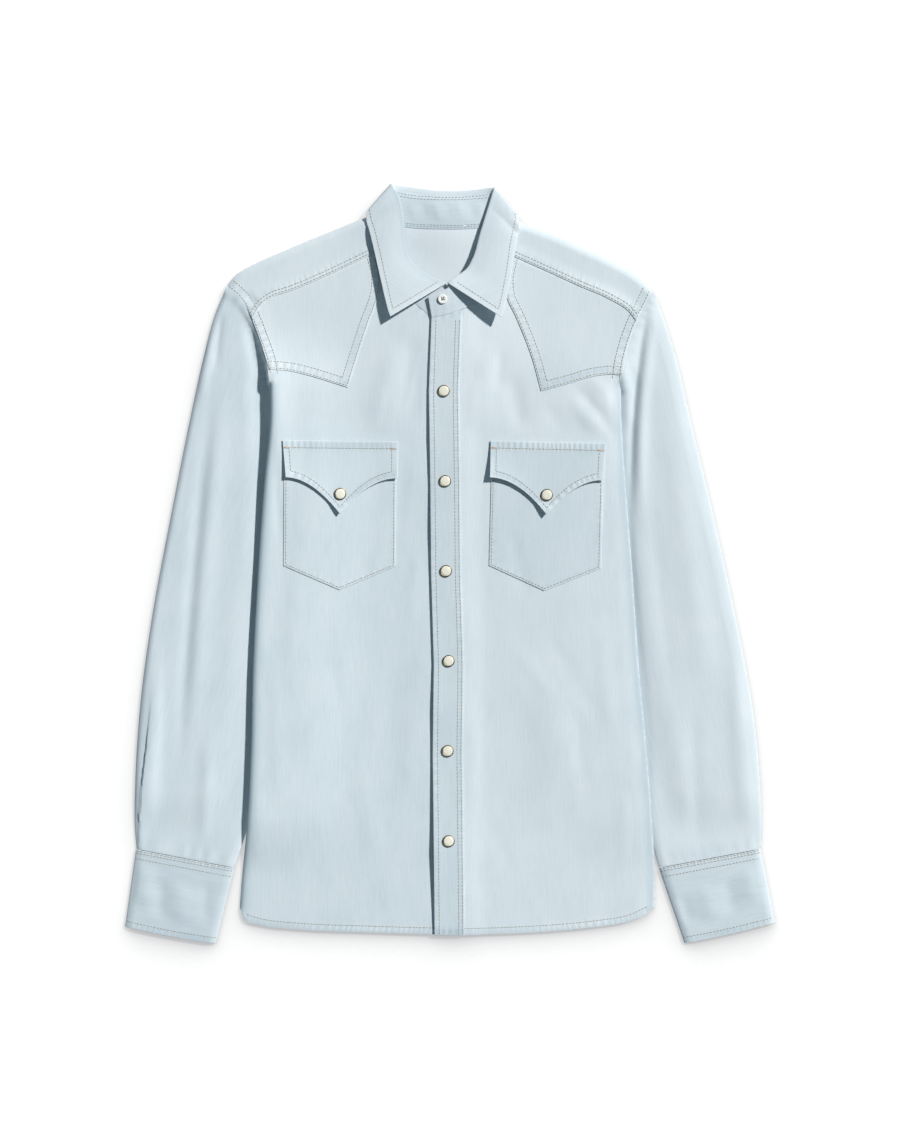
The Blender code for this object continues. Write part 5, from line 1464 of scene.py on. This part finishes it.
def armhole_line(side, inside):
    """Line inside the body's armhole edge, and the height of whatever piece lies on top there."""
    plan = moved(smooth(ARMHOLE[side], 90), SIDES[side] * inside)
    seam = np.array(sorted((abs(x), y) for x, y in SHOULDER_SEAM[side]))
    seam_y = np.interp(np.abs(plan[:, 0]), seam[:, 0], seam[:, 1])
    edge = np.array(sorted((abs(x), y) for x, y in YOKE_EDGE[side]))
    edge_y = np.interp(np.abs(plan[:, 0]), edge[:, 0], edge[:, 1])
    on_yoke = (plan[:, 1] > edge_y) & (plan[:, 1] < seam_y)
    base = FRONT_LAYER[side](plan)
    height = np.where(on_yoke, base + OVERLAY, np.where(plan[:, 1] >= seam_y, wing_layer(side)(plan), base))
    above = plan[:, 1] > YOKE_EDGE[side][0][1] - 4.0
    return plan[above], height[above]


def draped(plan, heights):
    """A line of stitching on cloth at known heights; it stands straight up from the floor."""
    return lift(plan, heights + CLOTH / 2), np.broadcast_to(np.array((0.0, 0.0, 1.0)), (len(plan), 3))


def front_runs(side):
    """Stitching on a front: shoulder, armhole and hem."""
    sign, runs = SIDES[side], []
    for inside in SHOULDER_LINES:
        line = moved(smooth(SHOULDER_SEAM[side], 120), -sign * (inside - SEAM_OVER))
        runs.append(surface_on(line[4:-2], wing_layer(side)))
    for inside in ARMHOLE_LINES:
        runs.append(draped(*armhole_line(side, inside)))
    hem = smooth(HEM[side][1:], 120) + (0.0, HEM_LINE)
    runs.append(surface_on(hem[1:], FRONT_LAYER[side]))
    return runs


def yoke_runs(side):
    """Two lines inside a front yoke's free edges."""
    return [surface_on(yoke_line(side, inside), overlay(side), THIN) for inside in YOKE_LINES]


def placket_runs():
    """Three lines down the placket."""
    heights = np.linspace(1.5, 617.0, 300)
    return [surface_on(np.stack((placket_middle(heights) + off, heights), axis=-1), placket_layer)
            for off in PLACKET_LINES]


def pocket_runs(side):
    """One line inside a pocket's edge."""
    return [surface_on(densely(pocket_outline(side, POCKET_LINE)), overlay(side), THIN)]


def densely(corners, pitch=1.5):
    """A polyline with points at an even pitch and its corners kept."""
    corners = np.asarray(corners, float)
    return np.concatenate([np.linspace(a, b, max(2, int(np.linalg.norm(b - a) / pitch)))
                           for a, b in zip(corners, corners[1:])])


def flap_runs(side):
    """Stitching on a flap: inside its free edges, and across its top."""
    wide, top = FLAP["width"], FLAP["above"] - FLAP_SEAM
    u = np.linspace(-0.5, 0.5, 161) * (1 - 2 * FLAP_LINE / wide)
    edge = np.stack((u * wide, FLAP["above"] - flap_depth(u) + FLAP_LINE * 1.12), axis=-1)
    inner, outer = wide / 2 - FLAP_LINE, wide / 2 - 1.0
    free = densely(np.concatenate((((-inner, top),), edge, ((inner, top),))))
    across = densely(((-outer, top), (outer, top)))
    return [surface_on(flap_place(side, *line.T), flap_layer(side)) for line in (free, across)]


def tack_runs(side):
    """Bar tacks: three short threads side by side at each end of a flap's seam."""
    half, top = FLAP["width"] / 2, FLAP["above"] - FLAP_SEAM
    runs = []
    for end in (-1, 1):
        for step in (-0.6, 0.0, 0.6):
            line = densely(((end * (half - 0.8), top + step), (end * (half - 8.0), top + step)), 0.4)
            runs.append(surface_on(pocket_plan(side, *line.T), flap_layer(side)))
    return runs


def cuff_runs(side):
    """Stitching on a cuff's upper layer: three lines under its seam and one above its free edge."""
    _, high, _ = cuff_points(side)
    down = np.linalg.norm(high[-1] - high[0], axis=1).mean()
    u = np.linspace(0.012, 0.988, 120)
    face = np.sign(np.cross(high[0, 1] - high[0, 0], high[1, 0] - high[0, 0])[2])
    return [surface_in(high, u, np.full(120, 1 - inside / down), TWO_PLY, face)
            for inside in (*CUFF_LINES, down - CUFF_EDGE_LINE)]


def fall_runs():
    """Stitching round the fall: down one front edge, along the free edge and up the other."""
    fall = fall_points()[FALL_START:]
    count, beside = fall.shape[1], 6
    length = np.linalg.norm(np.diff(fall, axis=0), axis=2).sum(0)
    along_edge = surface_in(fall, spread(count), 1 - FALL_LINE / length, TWO_PLY)
    ends, rows = [], np.linspace(0.04, 1, 60)
    for end, inner in ((0, beside), (-1, -1 - beside)):
        near, far = fall[:, end], fall[:, inner]
        down = near[-1] - near[0]
        gap = np.linalg.norm(np.cross(far - near, down / np.linalg.norm(down)), axis=1)
        u = np.interp(rows, spread(len(gap)), FALL_LINE / gap * beside / (count - 1))
        ends.append(surface_in(fall, u if end == 0 else 1 - u, rows, TWO_PLY))
    upward = (ends[1][0][::-1], ends[1][1][::-1])
    lines = [np.concatenate(line, axis=1) for line in (ends[0], along_edge, upward)]
    whole = mitred(mitred(lines[0], lines[1]), lines[2])
    out = collar_sections(False)[4]
    return [facing(whole[:, :3], whole[:, 3:], out[len(out) // 6], len(whole) // 4)]


def stand_runs():
    """Stitching on the stand's inner face round the back of the neck, above its seam and below the fall."""
    grid = stand_points()
    rise = np.linalg.norm(np.diff(grid, axis=0), axis=2).sum(0)
    turns = np.linspace(0.3, 0.72, 160)
    high = np.interp(turns, spread(len(rise)), rise)
    out = collar_sections(True)[4]
    inward = -out[len(out) // 2]
    return [facing(*surface_in(grid, turns, up / high, TWO_PLY), inward, 80) for up in STAND_LINES]


def make_stitching():
    """Sews every line of thread, and notes which cut piece it is on."""
    colours = bpy.context.scene.shirt_colours
    sand = thread_finish("sand_cotton_thread", colours.thread)
    blue = thread_finish("blue_cotton_thread", colours.inner_thread)
    copper = thread_finish("copper_cotton_thread", colours.tack)
    for side in SIDES:
        for piece, runs in (("front_" + side, front_runs(side)), ("front_yoke_" + side, yoke_runs(side)),
                            ("pocket_" + side, pocket_runs(side)), ("pocket_flap_" + side, flap_runs(side)),
                            ("cuff_" + side, cuff_runs(side))):
            THREADS[piece] = [stitching("stitches_" + piece, runs, sand)]
        tacks = stitching("bartacks_" + side, tack_runs(side), copper, whole=True)
        THREADS["pocket_flap_" + side].append(tacks)
    for piece, runs, thread in (("placket", placket_runs(), sand), ("collar_fall", fall_runs(), sand),
                                ("collar_stand", stand_runs(), blue)):
        THREADS[piece] = [stitching("stitches_" + piece, runs, thread)]


# ---------------------------------------------------------------- fastenings

def lathe(name, profile, sides, material):
    """Round piece: a circle extruded ring by ring to a half outline, each its radius and height."""
    deselect()
    radius, height = profile[0]
    bpy.ops.mesh.primitive_circle_add(vertices=sides, radius=radius * MM, location=(0, 0, height * MM))
    piece = bpy.context.object
    piece.name = piece.data.name = name
    bpy.ops.object.transform_apply(location=True, rotation=True, scale=True)
    bpy.ops.object.mode_set(mode="EDIT")
    bpy.ops.mesh.select_all(action="SELECT")
    for wide, tall in profile[1:]:
        share = max(wide, 0.02) / radius
        bpy.ops.mesh.extrude_edges_move(TRANSFORM_OT_translate={"value": (0, 0, (tall - height) * MM)})
        bpy.ops.transform.resize(value=(share, share, 1.0), center_override=(0, 0, tall * MM))
        radius, height = max(wide, 0.02), tall
    bpy.ops.mesh.select_all(action="SELECT")
    bpy.ops.mesh.remove_doubles(threshold=0.00003)
    bpy.ops.mesh.fill_holes(sides=0)
    bpy.ops.mesh.normals_make_consistent(inside=False)
    bpy.ops.object.mode_set(mode="OBJECT")
    piece.data.materials.append(material)
    bpy.ops.object.shade_smooth_by_angle(angle=math.radians(45))
    return piece


def seat(at, normal, wall):
    """The matrix that sets a fastening on a wall's outer face, square to it."""
    at = at + normal * (wall / 2 + GAP) * MM
    return Matrix.Translation(at) @ normal.to_track_quat("Z", "Y").to_matrix().to_4x4()


def cloth_seat(x, y, height):
    """Where a fastening sits on cloth whose middle height is given by height(plan)."""
    reach = 4.0
    around = np.array(((x, y), (x + reach, y), (x - reach, y), (x, y + reach), (x, y - reach)))
    z = height(around)
    normal = Vector(((z[2] - z[1]) / (2 * reach), (z[4] - z[3]) / (2 * reach), 1.0)).normalized()
    return seat(Vector(place((x, y, z[1:].mean()))), normal, CLOTH)


def set_copy(model, name, matrix, node_name):
    """A copy of a fastening with its own mesh, moved to its place and put in the node's stead."""
    piece = model.copy()
    piece.data = model.data.copy()
    piece.name = piece.data.name = name
    bpy.context.scene.collection.objects.link(piece)
    piece.data.transform(matrix)
    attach(piece, "root")
    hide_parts(node_name)
    return piece


def snap_seats():
    """Name, plan and layer of every snap."""
    for k in range(SNAP_COUNT):
        y = LOWEST_SNAP + SNAP_PITCH * k
        yield f"placket_{k + 1}", float(placket_middle(y)), y, placket_layer
    down = np.array(1 - FLAP_SNAP_UP / (FLAP["side"] + FLAP["point"]))
    for side in SIDES:
        yield "pocket_" + side, *flap_plan(side, np.array(0.0), down), flap_layer(side)


def make_snaps():
    """A pearl snap on every seat: a thin metal ring round a domed cap."""
    outer = bpy.context.scene.shirt_sizes.ring / MM / 2
    inner = outer - RING_WALL
    wide = inner - CAP_CLEAR
    ring = lathe("snap_ring", ((inner, 0.0), (outer - 0.15, 0.0), (outer, 0.3), (outer, 1.0),
                               (outer - 0.2, 1.4), (outer - 0.5, 1.5), (inner, 1.3), (inner, 0.0)),
                 SNAP_SIDES, ring_metal())
    cap = lathe("snap_cap", ((0.02, 0.1), (wide, 0.1), (wide, 1.3), (wide * 0.95, 1.6), (wide * 0.84, 1.78),
                             (wide * 0.66, 1.9), (wide * 0.4, 1.98), (0.02, 2.0)), SNAP_SIDES, pearl())
    for name, x, y, height in snap_seats():
        matrix = cloth_seat(x, y, height)
        set_copy(ring, "ring_" + name, matrix, "snap_ring_" + name)
        set_copy(cap, "cap_" + name, matrix, "snap_cap_" + name)
    for model in (ring, cap):
        bpy.data.objects.remove(model, do_unlink=True)


def make_button():
    """Four-hole button on the stand's lapped end, with its crossed thread."""
    wide = bpy.context.scene.shirt_sizes.button / MM / 2
    button = lathe("button", ((0.02, 0.0), (wide * 0.8, 0.0), (wide * 0.96, 0.4), (wide, 0.9), (wide, 1.4),
                              (wide * 0.95, 1.9), (wide * 0.86, 2.1), (wide * 0.74, 2.05),
                              (wide * 0.62, 1.85), (0.02, 1.8)), SNAP_SIDES, button_finish())
    for k in range(4):
        turn, away = math.radians(45 + 90 * k), HOLES_AWAY * MM
        deselect()
        bpy.ops.mesh.primitive_cylinder_add(vertices=20, radius=HOLE_RADIUS * MM, depth=9 * MM,
                                            location=(away * math.cos(turn), away * math.sin(turn), 0))
        drill = bpy.context.object
        cut = button.modifiers.new("hole", "BOOLEAN")
        cut.operation = "DIFFERENCE"
        cut.object = drill
        apply_modifiers(button)
        bpy.data.objects.remove(drill, do_unlink=True)
    x, y = BUTTON_PLACE
    neck, roll, _, _, out = collar_sections(True)
    level = (neck + roll) / 2
    near = np.argmin(np.linalg.norm(level - (x, y, level[-1, 2]), axis=1))
    normal = Vector(out[near])
    matrix = seat(Vector(place((x, y, level[near][2]))), normal, TWO_PLY)
    set_copy(button, "shirt_button", matrix, "collar_button")
    bpy.data.objects.remove(button, do_unlink=True)
    runs, reach = [], HOLES_AWAY * 0.7
    for k in (-1, 1):
        line = np.linspace((-reach, -reach * k, 1.95), (reach, reach * k, 1.95), 30)
        world = np.array([matrix @ Vector(point * MM) for point in line]) / MM + (ORIGIN[0], ORIGIN[1], 0.0)
        runs.append((world, np.broadcast_to(np.array(normal), world.shape)))
    grey = thread_finish("grey_cotton_thread", linear("#8E9296"))
    stitching("button_thread", runs, grey, whole=True)


# ---------------------------------------------------------------- sizes and colours that a user may change

def number(name, description, default, low, high, **kind):
    """A number that a user may change."""
    return FloatProperty(name=name, description=description, default=default, min=low, max=high, **kind)


def size(name, description, default, low, high):
    """A size in metres that a user may change."""
    return number(name, description, default, low, high, subtype="DISTANCE", unit="LENGTH")


def angle(name, description, degrees, low, high):
    """An angle that a user may change."""
    return number(name, description, math.radians(degrees), low, high, subtype="ANGLE", unit="ROTATION")


def colour(name, description, code):
    """A colour that a user may change."""
    return FloatVectorProperty(name=name, description=description, subtype="COLOR", size=3, min=0, max=1,
                               default=linear(code))


class ShirtSizes(bpy.types.PropertyGroup):
    """Sizes of the stitching and the fastenings."""
    stitch: size("Stitch", "Length of one topstitch", 0.0026, 0.001, 0.006)
    stitch_gap: size("Stitch gap", "Cloth between two stitches", 0.0009, 0.0002, 0.004)
    thread: size("Thread", "Thickness of the topstitching thread", 0.0007, 0.0003, 0.0012)
    ring: size("Snap ring", "Outer diameter of a snap's metal ring", 0.012, 0.009, 0.014)
    button: size("Button", "Diameter of the collar's button", 0.0092, 0.008, 0.012)


class ShirtColours(bpy.types.PropertyGroup):
    """Colours of the shirt."""
    denim: colour("Denim", "Washed cloth between the seams", "#CDD6DC")
    denim_deep: colour("Deep denim", "Slubs and clouds that kept more indigo", "#C0CCD3")
    # The worn colour also gives painted light inside the neck and on lifted pieces; the seam colour also
    # gives painted shade beside the side folds, on the sleeve and on the collar's roll.
    denim_worn_and_lit: colour("Worn denim", "Rubbed ridges along the seams", "#E4EAEE")
    denim_seam_and_shade: colour("Seam denim", "Troughs between the puckers", "#A0B1BB")
    thread: colour("Thread", "Topstitching", "#B3B0A4")
    inner_thread: colour("Inner thread", "Stitching inside the stand", "#B2C0C8")
    tack: colour("Bar tack", "Tacks at the ends of the flaps", "#DCC6B8")
    pearl: colour("Pearl", "Snap caps", "#EBE6D6")
    ring: colour("Ring", "Antique brass of the snap rings", "#8A7A5E")
    button: colour("Button", "Collar button", "#FAF8F2")


class ShirtStage(bpy.types.PropertyGroup):
    """The floor, the light and the camera."""
    floor: colour("Floor", "Colour of the floor", "#5A5A5A")
    shade: colour("Shade", "Colour of the soft shading beside the shirt", "#B4B4B6")
    floor_glow: number("Floor glow", "Light the floor gives of itself", 0.93, 0, 2)
    floor_size: size("Floor size", "Width of the floor", 12.0, 2, 50)
    key: number("Key light", "Strength of the large lamp", 4.25, 0, 20)
    key_height: angle("Key height", "Angle of the key light above the floor", 42, 0.1, 1.57)
    key_turn: angle("Key turn", "Direction the key light comes from", 38, -3.15, 3.15)
    key_soft: angle("Key softness", "Angle the key light spreads over", 4, 0, 1)
    fill: number("Fill", "Strength of the light from all round", 0.19, 0, 3)
    lens: number("Lens", "Focal length", 85.0, 20, 200)
    height: size("Camera height", "Height of the camera over the shirt", 2.655, 1, 6)


# ---------------------------------------------------------------- operators

class SHIRT_OT_back(bpy.types.Operator):
    """Back and yoke, which lie under everything."""
    bl_idname = "shirt.back"
    bl_label = "Back and yoke"
    bl_options = {"REGISTER", "UNDO"}

    def execute(self, context):
        make_back()
        make_yoke()
        return {"FINISHED"}


class SHIRT_OT_fronts(bpy.types.Operator):
    """Both fronts, their pointed yokes and the placket."""
    bl_idname = "shirt.fronts"
    bl_label = "Fronts and placket"
    bl_options = {"REGISTER", "UNDO"}

    def execute(self, context):
        for side in SIDES:
            make_front(side)
            make_front_yoke(side)
        make_placket()
        return {"FINISHED"}


class SHIRT_OT_pockets(bpy.types.Operator):
    """Chest pockets and their pointed flaps."""
    bl_idname = "shirt.pockets"
    bl_label = "Pockets and flaps"
    bl_options = {"REGISTER", "UNDO"}

    def execute(self, context):
        for side in SIDES:
            make_pocket(side)
            make_flap(side)
        return {"FINISHED"}


class SHIRT_OT_sleeves(bpy.types.Operator):
    """Sleeves and cuffs."""
    bl_idname = "shirt.sleeves"
    bl_label = "Sleeves and cuffs"
    bl_options = {"REGISTER", "UNDO"}

    def execute(self, context):
        for side in SIDES:
            make_sleeve(side)
            make_cuff(side)
        return {"FINISHED"}


class SHIRT_OT_collar(bpy.types.Operator):
    """Collar stand and fall."""
    bl_idname = "shirt.collar"
    bl_label = "Collar"
    bl_options = {"REGISTER", "UNDO"}

    def execute(self, context):
        make_collar_stand()
        make_collar_fall()
        return {"FINISHED"}


class SHIRT_OT_stitches(bpy.types.Operator):
    """Topstitching on every seam, and the bar tacks on the flaps."""
    bl_idname = "shirt.stitches"
    bl_label = "Topstitching"
    bl_options = {"REGISTER", "UNDO"}

    def execute(self, context):
        make_stitching()
        return {"FINISHED"}


class SHIRT_OT_fastenings(bpy.types.Operator):
    """Pearl snaps and the collar's button."""
    bl_idname = "shirt.fastenings"
    bl_label = "Snaps and button"
    bl_options = {"REGISTER", "UNDO"}

    def execute(self, context):
        make_snaps()
        make_button()
        return {"FINISHED"}


class SHIRT_OT_sheets(bpy.types.Operator):
    """An empty step: it changes nothing."""
    bl_idname = "shirt.sheets"
    bl_label = "Declare the cloth"
    bl_options = {"REGISTER", "UNDO"}

    def execute(self, context):
        return {"FINISHED"}


class SHIRT_OT_stage(bpy.types.Operator):
    """Floor, light and camera."""
    bl_idname = "shirt.stage"
    bl_label = "Stage"
    bl_options = {"REGISTER", "UNDO"}

    def execute(self, context):
        stage = context.scene.shirt_stage
        deselect()
        bpy.ops.mesh.primitive_plane_add(size=stage.floor_size, location=FLOOR_AT)
        floor = context.object
        floor.name = "floor"
        bpy.ops.object.transform_apply(location=True)
        floor.data.materials.append(floor_finish())
        deselect()
        bpy.ops.object.light_add(type="SUN", location=LAMP_AT)
        lamp = context.object
        lamp.name = "key"
        lamp.rotation_euler = (math.pi / 2 - stage.key_height, 0.0, math.pi / 2 + stage.key_turn)
        lamp.data.energy = stage.key
        lamp.data.angle = stage.key_soft
        lamp.data.color = LAMP_COLOUR
        world = bpy.data.worlds.new("studio")
        world.use_nodes = True
        sky = world.node_tree.nodes["Background"]
        sky.inputs["Color"].default_value = SKY_COLOUR
        sky.inputs["Strength"].default_value = stage.fill
        context.scene.world = world
        bpy.ops.object.camera_add(location=(*CAMERA_AT, stage.height), rotation=(0.0, 0.0, 0.0))
        camera = context.object
        camera.name = "camera"
        camera.data.lens = stage.lens
        camera.data.sensor_width = 36.0
        context.scene.camera = camera
        context.scene.view_settings.view_transform = "Standard"
        return {"FINISHED"}


class SHIRT_PT_panel(bpy.types.Panel):
    """The shirt's pieces, sizes and colours."""
    bl_idname = "SHIRT_PT_panel"
    bl_label = "Denim western shirt"
    bl_space_type = "VIEW_3D"
    bl_region_type = "UI"
    bl_category = "Shirt"

    def draw(self, context):
        scene = context.scene
        for group in (scene.shirt_sizes, scene.shirt_colours, scene.shirt_stage):
            box = self.layout.box()
            for key in group.__annotations__:
                box.prop(group, key)
        for step in STEPS:
            self.layout.operator(step.bl_idname)


STEPS = (SHIRT_OT_stage, SHIRT_OT_back, SHIRT_OT_fronts, SHIRT_OT_pockets, SHIRT_OT_sleeves, SHIRT_OT_collar,
         SHIRT_OT_stitches, SHIRT_OT_fastenings, SHIRT_OT_sheets)
GROUPS = {"shirt_sizes": ShirtSizes, "shirt_colours": ShirtColours, "shirt_stage": ShirtStage}


def register():
    for group in GROUPS.values():
        bpy.utils.register_class(group)
    for key, group in GROUPS.items():
        setattr(bpy.types.Scene, key, PointerProperty(type=group))
    for step in STEPS + (SHIRT_PT_panel,):
        bpy.utils.register_class(step)


def unregister():
    for step in (SHIRT_PT_panel,) + STEPS[::-1]:
        bpy.utils.unregister_class(step)
    for key, group in GROUPS.items():
        delattr(bpy.types.Scene, key)
        bpy.utils.unregister_class(group)


def main():
    register()
    for step in STEPS:
        area, name = step.bl_idname.split(".")
        getattr(getattr(bpy.ops, area), name)()


if __name__ == "__main__":
    main()
